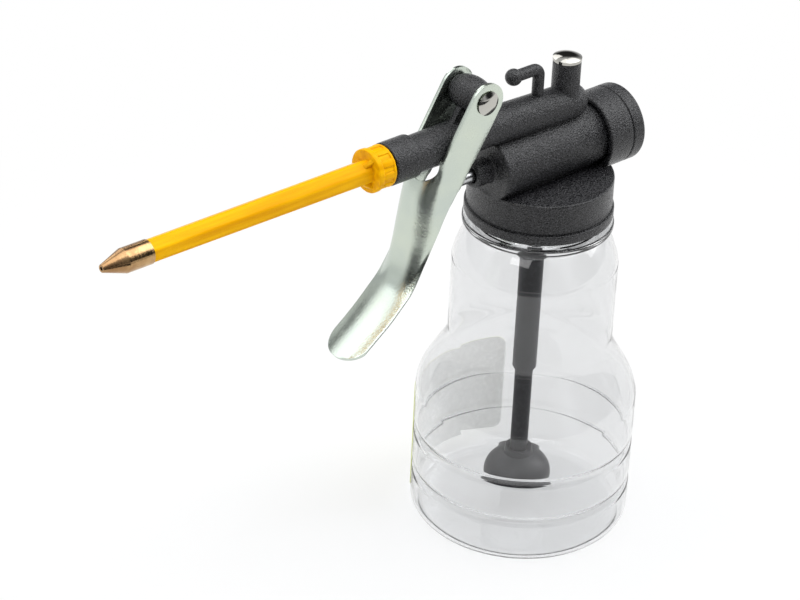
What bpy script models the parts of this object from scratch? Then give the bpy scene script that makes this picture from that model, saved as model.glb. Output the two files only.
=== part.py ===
"""Hand pump oil can: clear blown bottle, black moulded pump head, zinc plated trigger, yellow spout.

Metres, +Z up. The origin is the centre of the bottle's flat underside, and the spout points along -X.
A length that ends in _X, _Y or _Z is a place on that axis, and a name that ends in _R is a radius.
"""
import math

import bmesh
import bpy
from mathutils import Vector

# Fits. A gap lies between pieces that touch, a slip between pieces that slide.
GAP = 0.0003
SLIP = 0.0003
MERGE = 0.000005
# A cutter runs on past the face that it opens, and a piece sinks into the one that it is joined to
OVER = 0.001
SINK = 0.0005

# Facets round a turned piece
FACETS_BIG = 36
FACETS = 24
FACETS_SMALL = 16

# Bottle
BODY_R = 0.036
WALL = 0.0011
BASE_WALL = 0.0018
HEEL_R = 0.0055
BODY_TOP_Z = 0.046
WAIST_R = 0.0267
WAIST_Z = 0.069
SHOULDER_Z = 0.0955
SHOULDER_POWER = 1.35
NECK_R = 0.0205
NECK_Z = 0.1080
LIP_Z = 0.1182
BEAD_ZS = (0.0163, 0.0311)
BEAD_WIDTH = 0.0038
BEAD_DEPTH = 0.0008
NECK_RING_WIDE = 0.0037
NECK_RING_R = NECK_R + NECK_RING_WIDE
NECK_RING_Z = 0.1087
NECK_RING_H = 0.0015

# Label on the side that faces +Y
LABEL_Z = (0.0065, 0.0435)
LABEL_MID_DEG = 101.5
LABEL_SPAN_DEG = 86.0
LABEL_T = 0.0002

# Screw cap of the pump head
GASKET_T = 0.0012
GASKET_WIDE = 0.0055
GASKET_IN_R = NECK_R - GASKET_WIDE
ROOF_T = 0.0065
CAP_TOP_Z = LIP_Z + GAP + GASKET_T + GAP + ROOF_T
CAP_EDGE = 0.0007
CAP_FLANGE_H = 0.0032
CAP_GROOVE_H = 0.0005
CAP_DROP = 0.0136
THREAD_ROOM = 0.0008
CAP_WALL = 0.0019
CAP_TOP_R = NECK_R + THREAD_ROOM + CAP_WALL
CAP_GROOVE_DEPTH = 0.0004
CAP_GROOVE_R = CAP_TOP_R - CAP_GROOVE_DEPTH
CAP_FLANGE_WIDE = 0.0006
CAP_FLANGE_R = CAP_TOP_R + CAP_FLANGE_WIDE

# Pump barrel, which lies along X across the cap. A length that ends in _RISE is a height above the cap.
BARREL_RISE = 0.0081
BARREL_Z = CAP_TOP_Z + BARREL_RISE
BARREL_R = 0.0102
BARREL_FRONT_X = -0.0230
BARREL_REAR_X = 0.0275
BARREL_EDGE = 0.0008
BORE_R = 0.0080
FRONT_WALL = 0.0025
NOSE_R = 0.0042
NOSE_LEN = 0.0070
BORE_FRONT_X = BARREL_FRONT_X + FRONT_WALL

# Screw cap at the rear of the barrel
END_CAP_X = 0.0180
END_CAP_ROOM = 0.0005
END_CAP_WALL = 0.0019
END_CAP_R = BARREL_R + END_CAP_ROOM + END_CAP_WALL
END_CAP_BACK = 0.0032
END_CAP_RIM = 0.0050
END_CAP_LINE = 0.0004
END_CAP_EDGE = 0.0008
END_SEAL_T = 0.0011
END_SEAL_LAP = 0.0010
END_SEAL_IN_R = BORE_R - END_SEAL_LAP

# Plunger
ROD_R = 0.0021
ROD_TAIL_SPARE = 0.0008
ROD_SEAL_SLIP = 0.0001
ROD_SEAL_T = 0.0014
ROD_SEAL_R = 0.0034
PISTON_LEN = 0.0055
PISTON_GROOVE = 0.0020
PISTON_RING_R = 0.0008
ROD_TAIL_R = 0.0014
NUT_R = 0.0030
NUT_T = 0.0020
SPRING_WIRE_R = 0.0005
SPRING_COIL_R = 0.0058
SPRING_TURNS = 8

# Outlet gallery above the barrel, and the outlet tube in front of it
OUTLET_RISE = 0.0233
OUTLET_Z = CAP_TOP_Z + OUTLET_RISE
OUTLET_BORE_R = 0.0018
GALLERY_R = 0.0058
GALLERY_STEP = 0.0002
GALLERY_REAR_RISE = 0.0220
GALLERY_REAR = (0.0100, CAP_TOP_Z + GALLERY_REAR_RISE)
GALLERY_FRONT_X = -0.0280
TUBE_ROOT_R = 0.0062
TUBE_R = 0.0059
SLEEVE_R = 0.0068
TUBE_OVERLAP = 0.0040
SLEEVE_X = (-0.0555, -0.0652)
SLEEVE_EDGE = 0.0005
OUTLET_NECK_R = 0.0047
OUTLET_NECK_LEN = 0.0048

# Valve tower
TOWER_X = 0.0078
TOWER_R = 0.0045
TOWER_EDGE = 0.0003
TOWER_FOOT_R = 0.0054
TOWER_FLARE_RISE = 0.0270
TOWER_FLARE_Z = CAP_TOP_Z + TOWER_FLARE_RISE
TOWER_RISE = 0.0369
TOWER_TOP_Z = CAP_TOP_Z + TOWER_RISE
VALVE_BORE_R = 0.0027
VALVE_PORT_R = 0.0012
VALVE_SEAT_RISE = 0.0190
VALVE_SEAT_Z = CAP_TOP_Z + VALVE_SEAT_RISE
BALL_R = 0.0022
VALVE_SPRING_WIRE_R = 0.0003
VALVE_SPRING_TURNS = 5
PLUG_SHANK = 0.0042
PLUG_FLANGE_R = 0.0046
PLUG_FLANGE_T = 0.0008
PLUG_DOME = 0.0011

# Pivot boss with its rib, and the hanging hook
PIVOT_X = -0.0316
PIVOT_RISE = 0.0370
PIVOT_Z = CAP_TOP_Z + PIVOT_RISE
BOSS_R = 0.0057
BOSS_SHOULDER_R = 0.0047
BOSS_END_R = 0.0042
BOSS_END_LEN = 0.0009
RIB_T = 0.0022
RIB_TOP = (-0.0349, -0.0285)
RIB_FOOT = (-0.0430, -0.0215)
HOOK_X = -0.0040
HOOK_ARM_RISE = 0.0375
HOOK_ARM_Z = CAP_TOP_Z + HOOK_ARM_RISE
HOOK_REACH = 0.0105
HOOK_WIRE_R = 0.0019
HOOK_BEND_R = 0.0024
HOOK_BALL_R = 0.0027

# Suction side
INLET_X = -0.0013
SOCKET_R = 0.0044
SOCKET_Z = 0.0965
SOCKET_BORE_R = 0.0030
INLET_CAGE_R = 0.0027
INLET_PORT_R = 0.0010
SUCTION_R = 0.0039
SUCTION_BORE_R = 0.0017
SUCTION_SPIGOT = 0.0100
SUCTION_END_Z = 0.0550
DIP_R = 0.0029
DIP_BORE_R = 0.0018
DIP_GRIP = 0.0085
FOOT_R = 0.0110
FOOT_Z = 0.0135
FOOT_H = 0.0098
FOOT_WALL = 0.0012
FOOT_RIM_H = 0.0008
FOOT_CROWN_DROP = 0.0010
FOOT_CROWN_DEG = 64
FOOT_HUB_R = 0.0043
FOOT_SOCKET = 0.0050
SCREEN_T = 0.0005
SCREEN_RINGS = ((1, 0.0), (6, 0.0034), (12, 0.0067))
SCREEN_HOLE_R = 0.0009

# Spout with its collar, and the nozzle
COLLAR_X = (-0.0656, -0.0723)
COLLAR_R = 0.0063
COLLAR_FLANGE_R = 0.0069
COLLAR_FLANGE_T = 0.0019
COLLAR_RIBS = 10
COLLAR_RIB_W = 0.0016
COLLAR_RIB_END = 0.0002
COLLAR_EDGE = 0.0004
SPOUT_SEAL_T = 0.0006
SPOUT_ROOT_R = 0.0041
SPOUT_TIP_R = 0.0039
SPOUT_END_X = -0.1525
SPOUT_BORE_R = 0.0014
SPOUT_EDGE = 0.0004
GUSSET_LEN = 0.0024
GUSSET_T = 0.0014
GUSSET_DROP = 0.0012
GUSSET_TOP_R = COLLAR_FLANGE_R - GUSSET_DROP
NOZZLE_R = 0.0038
NOZZLE_EDGE = 0.0003
NOZZLE_BODY = 0.0084
NOZZLE_CONE = 0.0076
NOZZLE_TIP_R = 0.0012
NOZZLE_BORE_R = 0.0006
NOZZLE_SPIGOT_R = 0.0022
NOZZLE_SPIGOT = 0.0065

# Trigger, pressed from sheet, and its rivet
SHEET_T = 0.0012
BEND_SPREAD = 1.25
EAR_IN_Y = 0.0063
EAR_R = 0.0063
RIVET_R = 0.0021
RIVET_HEAD_R = 0.0039
RIVET_TAIL_R = 0.0031
RIVET_RIM = 0.0003
RIVET_DOME = 0.0009
RIVET_TAIL_DOME = 0.0010
TRIGGER_TIP_R = 0.0080
TIP_SPARE = 0.0006
SLOT_BOTTOM_RISE = 0.0142
SLOT_BOTTOM_Z = CAP_TOP_Z + SLOT_BOTTOM_RISE
SLOT_SHAVE = 0.0001
SLOT_ROUND = 0.95
SLOT_TALL = 0.0450
SLOT_AHEAD = 0.0100
SLOT_BACK = 0.0300
# Distances along the ears from the rivet's level, toward the tip
EAR_TRIM = 0.0214
EAR_REAR_TRIM = 0.0040
# Front surface from above the rivet down to the tip: forward reach and height above the cap, then the
# half width, the depth of the side walls behind the front, the corner radius, and how far the section
# has opened from a square channel (0) to a shallow crown (1)
TRIGGER_STATIONS = (
    (0.0348, 0.0499, 0.0075, 0.0159, 0.0016, 0.0),
    (0.0396, 0.0418, 0.0075, 0.0157, 0.0016, 0.0),
    (0.0446, 0.0331, 0.0075, 0.0155, 0.0016, 0.0),
    (0.0484, 0.0237, 0.0075, 0.0140, 0.0016, 0.0),
    (0.0501, 0.0184, 0.0075, 0.0124, 0.0026, 0.0),
    (0.0522, 0.0142, 0.0075, 0.0117, 0.0038, 0.0),
    (0.0537, 0.0092, 0.0076, 0.0107, 0.0044, 0.0),
    (0.0545, 0.0036, 0.0077, 0.0087, 0.0046, 0.0),
    (0.0552, -0.0022, 0.0078, 0.0068, 0.0046, 0.0),
    (0.0561, -0.0084, 0.0079, 0.0044, 0.0040, 0.2),
    (0.0579, -0.0148, 0.0080, 0.0026, 0.0026, 0.6),
    (0.0603, -0.0195, 0.0081, 0.0017, 0.0017, 0.9),
    (0.0634, -0.0231, 0.0081, 0.0012, 0.0012, 1.0),
    (0.0676, -0.0272, 0.0081, 0.0010, 0.0010, 1.0),
    (0.0722, -0.0309, 0.0080, 0.0010, 0.0010, 1.0),
    (0.0768, -0.0344, 0.0080, 0.0010, 0.0010, 1.0),
    (0.0823, -0.0387, 0.0080, 0.0010, 0.0010, 1.0),
)

for old in list(bpy.data.objects):
    bpy.data.objects.remove(old, do_unlink=True)

parts = bpy.data.collections.new("oil_can")
cutters = bpy.data.collections.new("cutters")
head_forms = bpy.data.collections.new("head_forms")
head_bores = bpy.data.collections.new("head_bores")
for collection in (parts, cutters):
    bpy.context.scene.collection.children.link(collection)
for collection in (head_forms, head_bores):
    cutters.children.link(collection)
cutters.hide_render = True


# Materials

def material(name, colour, roughness, metallic=0.0, alpha=1.0):
    made = bpy.data.materials.new(name)
    made.use_nodes = True
    shader = made.node_tree.nodes["Principled BSDF"]
    shader.inputs["Base Color"].default_value = (*colour, 1.0)
    shader.inputs["Roughness"].default_value = roughness
    shader.inputs["Metallic"].default_value = metallic
    shader.inputs["Alpha"].default_value = alpha
    return made


# Helpers for solids

def place(obj, home, location=(0, 0, 0), along="Z"):
    """Put an object in a collection, with its own Z axis turned along a world axis."""
    home.objects.link(obj)
    obj.location = location
    obj.rotation_euler = {"Z": (0, 0, 0), "X": (0, math.pi / 2, 0), "Y": (-math.pi / 2, 0, 0)}[along]
    if home is not parts:
        obj.hide_render = True
        obj.display_type = "WIRE"
    return obj


def turned(name, profile, location=(0, 0, 0), along="Z", facets=FACETS, home=None, loop=False):
    """Turn a profile of (radius, height) points, outer side first from the top to the bottom."""
    mesh = bpy.data.meshes.new(name)
    points = [(r, 0, z) for r, z in profile]
    edges = [(i, i + 1) for i in range(len(points) - 1)]
    if loop:
        edges.append((len(points) - 1, 0))
    mesh.from_pydata(points, edges, [])
    obj = place(bpy.data.objects.new(name, mesh), home or parts, location, along)
    spin = obj.modifiers.new("turn", "SCREW")
    spin.steps = facets
    spin.render_steps = facets
    spin.use_merge_vertices = True
    spin.merge_threshold = MERGE
    return obj


def tube(name, outer, inner, z0, z1, **where):
    """A plain ring or tube between two heights."""
    return turned(name, [(outer, z1), (outer, z0), (inner, z0), (inner, z1)], loop=True, **where)


def disc_stack(name, steps, **where):
    """A solid turned piece from (radius, bottom, top) steps that stand on each other, top step first."""
    profile = [(0, steps[0][2])]
    for radius, low, high in steps:
        profile += [(radius, high), (radius, low)]
    profile.append((0, steps[-1][1]))
    return turned(name, profile, **where)


def boolean(target, other, operation):
    """A Boolean with an object or with all of a collection, then a weld of the specks that it leaves."""
    step = target.modifiers.new(operation.lower() + "_" + other.name, "BOOLEAN")
    step.operation = operation
    step.solver = "EXACT"
    if isinstance(other, bpy.types.Collection):
        step.operand_type = "COLLECTION"
        step.collection = other
    else:
        step.object = other
    close = target.modifiers.new("weld", "WELD")
    close.merge_threshold = MERGE


def join(target, piece):
    boolean(target, piece, "UNION")


def cut(target, tool):
    boolean(target, tool, "DIFFERENCE")


def keep(target, tool):
    boolean(target, tool, "INTERSECT")


def round_edges(obj, width, segments=2, angle=40):
    edge = obj.modifiers.new("edges", "BEVEL")
    edge.width = width
    edge.segments = segments
    edge.limit_method = "ANGLE"
    edge.angle_limit = math.radians(angle)
    return edge


def prism(name, outline, half, home=None):
    """A flat outline of (x, z) points, extruded to both sides of the middle plane along Y."""
    curve = bpy.data.curves.new(name, "CURVE")
    curve.dimensions = "2D"
    curve.fill_mode = "BOTH"
    curve.extrude = half
    line = curve.splines.new("POLY")
    line.points.add(len(outline) - 1)
    for point, (x, z) in zip(line.points, outline):
        point.co = (x, z, 0, 1)
    line.use_cyclic_u = True
    obj = bpy.data.objects.new(name, curve)
    bpy.context.scene.collection.objects.link(obj)
    obj.rotation_euler = (math.pi / 2, 0, 0)
    return as_mesh(obj, home or parts)


def as_mesh(obj, home):
    """Swap a curve for a mesh with its caps welded, in the same place."""
    bpy.context.view_layer.update()
    evaluated = obj.evaluated_get(bpy.context.evaluated_depsgraph_get())
    mesh = bpy.data.meshes.new_from_object(evaluated)
    mesh.transform(obj.matrix_world)
    build = bmesh.new()
    build.from_mesh(mesh)
    bmesh.ops.remove_doubles(build, verts=build.verts, dist=MERGE)
    bmesh.ops.recalc_face_normals(build, faces=build.faces)
    build.to_mesh(mesh)
    build.free()
    name = obj.name
    bpy.data.objects.remove(obj, do_unlink=True)
    return place(bpy.data.objects.new(name, mesh), home)


def wire(name, points, radius, home=None, resolution=2):
    """A round wire through a list of points."""
    curve = bpy.data.curves.new(name, "CURVE")
    curve.dimensions = "3D"
    curve.bevel_depth = radius
    curve.bevel_resolution = resolution
    curve.use_fill_caps = True
    line = curve.splines.new("POLY")
    line.points.add(len(points) - 1)
    for point, at in zip(line.points, points):
        point.co = (*at, 1)
    obj = bpy.data.objects.new(name, curve)
    bpy.context.scene.collection.objects.link(obj)
    return as_mesh(obj, home or parts)


def coil(name, wire_r, coil_r, length, turns, per_turn=10):
    """Points of a helix along Z from 0 to its length, the wire's own thickness counted in."""
    steps = turns * per_turn
    rise = length - 2 * wire_r
    points = []
    for i in range(steps + 1):
        angle = 2 * math.pi * i / per_turn
        points.append((coil_r * math.cos(angle), coil_r * math.sin(angle), wire_r + rise * i / steps))
    return wire(name, points, wire_r, resolution=1)


def arc(centre, radius, start_deg, end_deg, steps):
    """Points (a, b) on an arc, both ends included."""
    angles = [math.radians(start_deg + (end_deg - start_deg) * i / steps) for i in range(steps + 1)]
    return [(centre[0] + radius * math.cos(a), centre[1] + radius * math.sin(a)) for a in angles]


def dome(radius, rise, base, steps=4):
    """Points (radius, height) of a shallow dome, from its top to its rim."""
    sphere_r = (radius ** 2 + rise ** 2) / (2 * rise)
    spread = math.degrees(math.asin(radius / sphere_r))
    points = arc((0, base + rise - sphere_r), sphere_r, 90, 90 - spread, steps)
    points[0] = (0, base + rise)
    return points


def ball(name, radius, at, facets=(12, 8), home=None):
    build = bmesh.new()
    bmesh.ops.create_uvsphere(build, u_segments=facets[0], v_segments=facets[1], radius=radius)
    mesh = bpy.data.meshes.new(name)
    build.to_mesh(mesh)
    build.free()
    return place(bpy.data.objects.new(name, mesh), home or parts, at)


def finish(obj, look):
    obj.data.materials.clear()
    obj.data.materials.append(look)
    for face in obj.data.polygons:
        face.use_smooth = True


# Bottle

def flare(z):
    """Radius of the S curve between the wide body and the waist."""
    t = (z - BODY_TOP_Z) / (WAIST_Z - BODY_TOP_Z)
    return BODY_R + (WAIST_R - BODY_R) * t * t * (3 - 2 * t)


def shoulder(z):
    """Radius of the shoulder that closes from the waist to the neck."""
    t = (z - SHOULDER_Z) / (NECK_Z - SHOULDER_Z)
    swell = max(0.0, 1 - t ** SHOULDER_POWER) ** (1 / SHOULDER_POWER)
    return NECK_R + (WAIST_R - NECK_R) * swell


def between(z0, z1, steps):
    return [z0 + (z1 - z0) * i / steps for i in range(1, steps + 1)]


def bottle_side():
    """Outer side from the underside to the neck, bottom to top, without the neck ring."""
    side = arc((BODY_R - HEEL_R, HEEL_R), HEEL_R, -90, 0, 3)
    for bead in BEAD_ZS:
        for i in range(4):
            z = bead + BEAD_WIDTH * (i / 3 - 0.5)
            side.append((BODY_R - BEAD_DEPTH * (i in (1, 2)), z))
    side.append((BODY_R, BODY_TOP_Z))
    side += [(flare(z), z) for z in between(BODY_TOP_Z, WAIST_Z, 6)]
    side.append((WAIST_R, SHOULDER_Z))
    side += [(shoulder(z), z) for z in between(SHOULDER_Z, NECK_Z, 5)]
    return side


def make_bottle(look):
    side = bottle_side()
    ring_low = NECK_RING_Z
    ring_top = NECK_RING_Z + NECK_RING_H
    ring_edge = NECK_RING_H / 4
    ring = [(NECK_R, ring_low), (NECK_RING_R - ring_edge, ring_low), (NECK_RING_R, ring_low + ring_edge),
            (NECK_RING_R, ring_top - ring_edge), (NECK_RING_R - ring_edge, ring_top), (NECK_R, ring_top)]
    outer = [(0, 0)] + side + ring + [(NECK_R, LIP_Z)]
    inner = [(r - WALL, max(z, BASE_WALL)) for r, z in side if z > BASE_WALL]
    inner = [(0, BASE_WALL), (inner[0][0] - WALL, BASE_WALL)] + inner + [(NECK_R - WALL, LIP_Z)]
    finish(turned("bottle", inner + outer[::-1], facets=FACETS_BIG), look)


def make_label(look):
    """Plain sticker on the wide body."""
    inner = BODY_R + GAP
    outer = inner + LABEL_T
    steps = 18
    build = bmesh.new()
    rings = []
    for i in range(steps + 1):
        angle = math.radians(LABEL_MID_DEG + LABEL_SPAN_DEG * (i / steps - 0.5))
        across = Vector((math.cos(angle), math.sin(angle), 0))
        corners = [(inner, LABEL_Z[0]), (outer, LABEL_Z[0]), (outer, LABEL_Z[1]), (inner, LABEL_Z[1])]
        rings.append([build.verts.new(across * r + Vector((0, 0, z))) for r, z in corners])
    for a, b in zip(rings, rings[1:]):
        for k in range(4):
            build.faces.new((a[k], b[k], b[(k + 1) % 4], a[(k + 1) % 4]))
    build.faces.new(rings[0])
    build.faces.new(rings[-1][::-1])
    bmesh.ops.recalc_face_normals(build, faces=build.faces)
    mesh = bpy.data.meshes.new("label")
    build.to_mesh(mesh)
    build.free()
    label = place(bpy.data.objects.new("label", mesh), parts)
    finish(label, look)


# Pump head, one moulding

def make_head(look):
    cap_low = CAP_TOP_Z - CAP_DROP
    inner_r = NECK_R + THREAD_ROOM
    groove_z = cap_low + CAP_FLANGE_H
    cap = [(0, CAP_TOP_Z), (CAP_TOP_R - CAP_EDGE, CAP_TOP_Z), (CAP_TOP_R, CAP_TOP_Z - CAP_EDGE),
           (CAP_TOP_R, groove_z + CAP_GROOVE_H), (CAP_GROOVE_R, groove_z + CAP_GROOVE_H),
           (CAP_GROOVE_R, groove_z), (CAP_FLANGE_R, groove_z), (CAP_FLANGE_R, cap_low),
           (inner_r, cap_low), (inner_r, CAP_TOP_Z - ROOF_T), (0, CAP_TOP_Z - ROOF_T)]
    head = turned("pump_head", cap, facets=FACETS_BIG)

    relief = disc_stack("end_cap_relief", [(END_CAP_R + GAP, END_CAP_X - GAP, CAP_FLANGE_R + OVER)],
                        location=(0, 0, BARREL_Z), along="X", home=cutters, facets=FACETS_BIG)
    cut(head, relief)

    make_barrel()
    make_gallery()
    make_tower()
    make_pivot_boss()
    make_hook()
    make_socket()
    make_passages()
    join(head, head_forms)
    cut(head, head_bores)
    finish(head, look)


def make_barrel():
    """Barrel with a slim nose for the rod."""
    barrel = disc_stack("barrel", [(BARREL_R, BARREL_FRONT_X, BARREL_REAR_X),
                                   (NOSE_R, BARREL_FRONT_X - NOSE_LEN, BARREL_FRONT_X)],
                        location=(0, 0, BARREL_Z), along="X", home=head_forms)
    round_edges(barrel, BARREL_EDGE)


def make_gallery():
    """Leaning gallery with a round rear end, then the level outlet tube with its sleeve and neck."""
    rise = OUTLET_Z - GALLERY_REAR[1]
    run = GALLERY_REAR[0] - GALLERY_FRONT_X
    length = math.hypot(run, rise)
    profile = [(0, length), (TUBE_ROOT_R - GALLERY_STEP, length), (GALLERY_R, 0)]
    profile += [(x, -z) for z, x in arc((0, 0), GALLERY_R, 90, 0, 8)][1:]
    profile[-1] = (0, -GALLERY_R)
    gallery = turned("gallery", profile, location=(GALLERY_REAR[0], 0, GALLERY_REAR[1]), home=head_forms)
    gallery.rotation_euler = (0, -math.atan2(run, rise), 0)
    neck_x = SLEEVE_X[1] - OUTLET_NECK_LEN
    root_x = GALLERY_FRONT_X + TUBE_OVERLAP
    profile = [(0, root_x), (TUBE_ROOT_R, root_x), (TUBE_R, SLEEVE_X[0]),
               (SLEEVE_R - SLEEVE_EDGE, SLEEVE_X[0]), (SLEEVE_R, SLEEVE_X[0] - SLEEVE_EDGE),
               (SLEEVE_R, SLEEVE_X[1]), (OUTLET_NECK_R, SLEEVE_X[1]), (OUTLET_NECK_R, neck_x), (0, neck_x)]
    turned("outlet_tube", profile, location=(0, 0, OUTLET_Z), along="X", home=head_forms)


def make_tower():
    """Upright valve tower with a flared foot, on the rear end of the gallery."""
    profile = [(0, TOWER_TOP_Z), (TOWER_R - TOWER_EDGE, TOWER_TOP_Z), (TOWER_R, TOWER_TOP_Z - TOWER_EDGE),
               (TOWER_R, TOWER_FLARE_Z), (TOWER_FOOT_R, GALLERY_REAR[1]), (0, GALLERY_REAR[1])]
    turned("tower", profile, location=(TOWER_X, 0, 0), home=head_forms)


def make_pivot_boss():
    """Barrel shaped boss between the ears with a slimmer end on each side, on a thin rib."""
    half = EAR_IN_Y - GAP
    swell = half - BOSS_END_LEN
    crown = dome(swell, BOSS_R - BOSS_SHOULDER_R, BOSS_SHOULDER_R)
    upper = [(r, y) for y, r in crown[::-1]]
    lower = [(r, -y) for y, r in crown[1:]]
    profile = [(0, half), (BOSS_END_R, half), (BOSS_END_R, swell)] + upper + lower
    profile += [(BOSS_END_R, -swell), (BOSS_END_R, -half), (0, -half)]
    turned("pivot_boss", profile, location=(PIVOT_X, 0, PIVOT_Z), along="Y", home=head_forms)
    outline = [(RIB_TOP[0], PIVOT_Z), (RIB_FOOT[0], OUTLET_Z), (RIB_FOOT[1], OUTLET_Z), (RIB_TOP[1], PIVOT_Z)]
    prism("pivot_rib", outline, RIB_T / 2, home=head_forms)


def make_hook():
    """Round stem that rises from the gallery, bends forward and ends in a ball."""
    bend = arc((HOOK_X - HOOK_BEND_R, HOOK_ARM_Z - HOOK_BEND_R), HOOK_BEND_R, 0, 90, 5)
    path = [(HOOK_X, 0, OUTLET_Z)] + [(x, 0, z) for x, z in bend] + [(HOOK_X - HOOK_REACH, 0, HOOK_ARM_Z)]
    wire("hook", path, HOOK_WIRE_R, home=head_forms)
    ball("hook_ball", HOOK_BALL_R, (HOOK_X - HOOK_REACH, 0, HOOK_ARM_Z), (FACETS_SMALL, 10), head_forms)


def make_socket():
    """Long socket under the roof that holds the suction tube and the inlet ball."""
    top = CAP_TOP_Z - ROOF_T / 2
    disc_stack("socket", [(SOCKET_R, SOCKET_Z, top)], location=(INLET_X, 0, 0), home=head_forms,
               facets=FACETS_SMALL)


def make_passages():
    """Barrel bore, rod hole, outlet bore, valve bore, inlet bore and pivot hole."""
    disc_stack("outlet_bore", [(OUTLET_BORE_R, SLEEVE_X[1] - OUTLET_NECK_LEN - OVER, TOWER_X)],
               location=(0, 0, OUTLET_Z), along="X", home=head_bores, facets=FACETS_SMALL)
    disc_stack("valve_bore", [
        (VALVE_BORE_R, VALVE_SEAT_Z, TOWER_TOP_Z + OVER),
        (VALVE_PORT_R, BARREL_Z, VALVE_SEAT_Z)],
        location=(TOWER_X, 0, 0), home=head_bores, facets=FACETS_SMALL)
    spigot_top = SOCKET_Z + SUCTION_SPIGOT
    disc_stack("inlet_bore", [
        (INLET_PORT_R, cage_top(), BARREL_Z),
        (INLET_CAGE_R, spigot_top, cage_top()),
        (SOCKET_BORE_R, SOCKET_Z - OVER, spigot_top)],
        location=(INLET_X, 0, 0), home=head_bores, facets=FACETS_SMALL)
    disc_stack("pivot_hole", [(RIVET_R + SLIP, -EAR_IN_Y, EAR_IN_Y)],
               location=(PIVOT_X, 0, PIVOT_Z), along="Y", home=head_bores, facets=FACETS_SMALL)
    pocket_x = BORE_FRONT_X - ROD_SEAL_T - 2 * GAP
    disc_stack("barrel_bore", [
        (BORE_R, BORE_FRONT_X, BARREL_REAR_X + OVER),
        (ROD_SEAL_R + GAP, pocket_x, BORE_FRONT_X),
        (ROD_R + SLIP, BARREL_FRONT_X - NOSE_LEN - OVER, pocket_x)],
        location=(0, 0, BARREL_Z), along="X", home=head_bores)


def seated(bore_r):
    """Height of a ball's centre above the edge of the hole that it sits on."""
    return math.sqrt(BALL_R ** 2 - bore_r ** 2) + GAP / 2


def inlet_ball_z():
    return SOCKET_Z + SUCTION_SPIGOT + seated(SUCTION_BORE_R)


def cage_top():
    """Top of the inlet ball's cage, which lets the ball rise by half its radius."""
    return inlet_ball_z() + BALL_R + BALL_R / 2 + GAP


# Cap, seals and plunger

def make_gasket(look):
    z0 = LIP_Z + GAP
    finish(tube("neck_gasket", NECK_R, GASKET_IN_R, z0, z0 + GASKET_T, facets=FACETS_BIG), look)


def end_cap_floor_x():
    return BARREL_REAR_X + 2 * GAP + END_SEAL_T


def make_end_cap(look):
    inner_r = END_CAP_R - END_CAP_WALL
    floor_x = end_cap_floor_x()
    back_x = floor_x + END_CAP_BACK
    line_x = back_x - END_CAP_RIM
    edge = END_CAP_EDGE
    profile = [(0, back_x), (END_CAP_R - edge, back_x), (END_CAP_R, back_x - edge),
               (END_CAP_R, line_x + END_CAP_LINE), (END_CAP_R - END_CAP_LINE, line_x + END_CAP_LINE),
               (END_CAP_R - END_CAP_LINE, line_x), (END_CAP_R, line_x),
               (END_CAP_R, END_CAP_X + edge / 2), (END_CAP_R - edge / 2, END_CAP_X),
               (inner_r, END_CAP_X), (inner_r, floor_x), (0, floor_x)]
    cap = turned("end_cap", profile, location=(0, 0, BARREL_Z), along="X", facets=FACETS_BIG)
    finish(cap, look)


def make_end_seal(look):
    x0 = BARREL_REAR_X + GAP
    outer = END_CAP_R - END_CAP_WALL - GAP
    finish(tube("end_cap_seal", outer, END_SEAL_IN_R, x0, x0 + END_SEAL_T, location=(0, 0, BARREL_Z),
                along="X"), look)


def piston_front():
    return BORE_FRONT_X + GAP


def make_rod(look):
    """Rod from the trigger to the piston, with a domed front end and a thinner threaded tail."""
    tip_x = rod_tip_x()
    shoulder_x = piston_front() - GAP
    tail_x = piston_front() + PISTON_LEN + GAP + NUT_T + ROD_TAIL_SPARE
    dome = [(r, -x) for x, r in arc((-(tip_x + ROD_R), 0), ROD_R, 90, 0, 5)]
    profile = [(0, tail_x), (ROD_TAIL_R, tail_x), (ROD_TAIL_R, shoulder_x), (ROD_R, shoulder_x)] + dome
    profile[-1] = (0, tip_x)
    rod = turned("plunger_rod", profile, location=(0, 0, BARREL_Z), along="X", facets=FACETS_SMALL)
    finish(rod, look)


def make_rod_seal(look):
    x0 = BORE_FRONT_X - GAP - ROD_SEAL_T
    seal = tube("rod_seal", ROD_SEAL_R, ROD_R + ROD_SEAL_SLIP, x0, x0 + ROD_SEAL_T, location=(0, 0, BARREL_Z),
                along="X", facets=FACETS_SMALL)
    finish(seal, look)


def make_piston(look):
    outer = BORE_R - SLIP
    inner = ROD_TAIL_R + GAP
    floor = outer - 2 * PISTON_RING_R
    x0 = piston_front()
    x1 = x0 + PISTON_LEN
    mid = (x0 + x1) / 2
    profile = [(outer, x1), (outer, mid + PISTON_GROOVE / 2), (floor, mid + PISTON_GROOVE / 2),
               (floor, mid - PISTON_GROOVE / 2), (outer, mid - PISTON_GROOVE / 2), (outer, x0),
               (inner, x0), (inner, x1)]
    piston = turned("piston", profile, location=(0, 0, BARREL_Z), along="X", loop=True)
    finish(piston, look)


def make_piston_ring(look):
    """Round ring in the piston's groove."""
    centre = (BORE_R - GAP / 2 - PISTON_RING_R, piston_front() + PISTON_LEN / 2)
    section = arc(centre, PISTON_RING_R, 90, -270, 8)[:-1]
    ring = turned("piston_ring", section, location=(0, 0, BARREL_Z), along="X", loop=True)
    finish(ring, look)


def make_piston_nut(look):
    x0 = piston_front() + PISTON_LEN + GAP
    nut = tube("piston_nut", NUT_R, ROD_TAIL_R + GAP, x0, x0 + NUT_T, location=(0, 0, BARREL_Z), along="X",
               facets=6)
    finish(nut, look)


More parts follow.
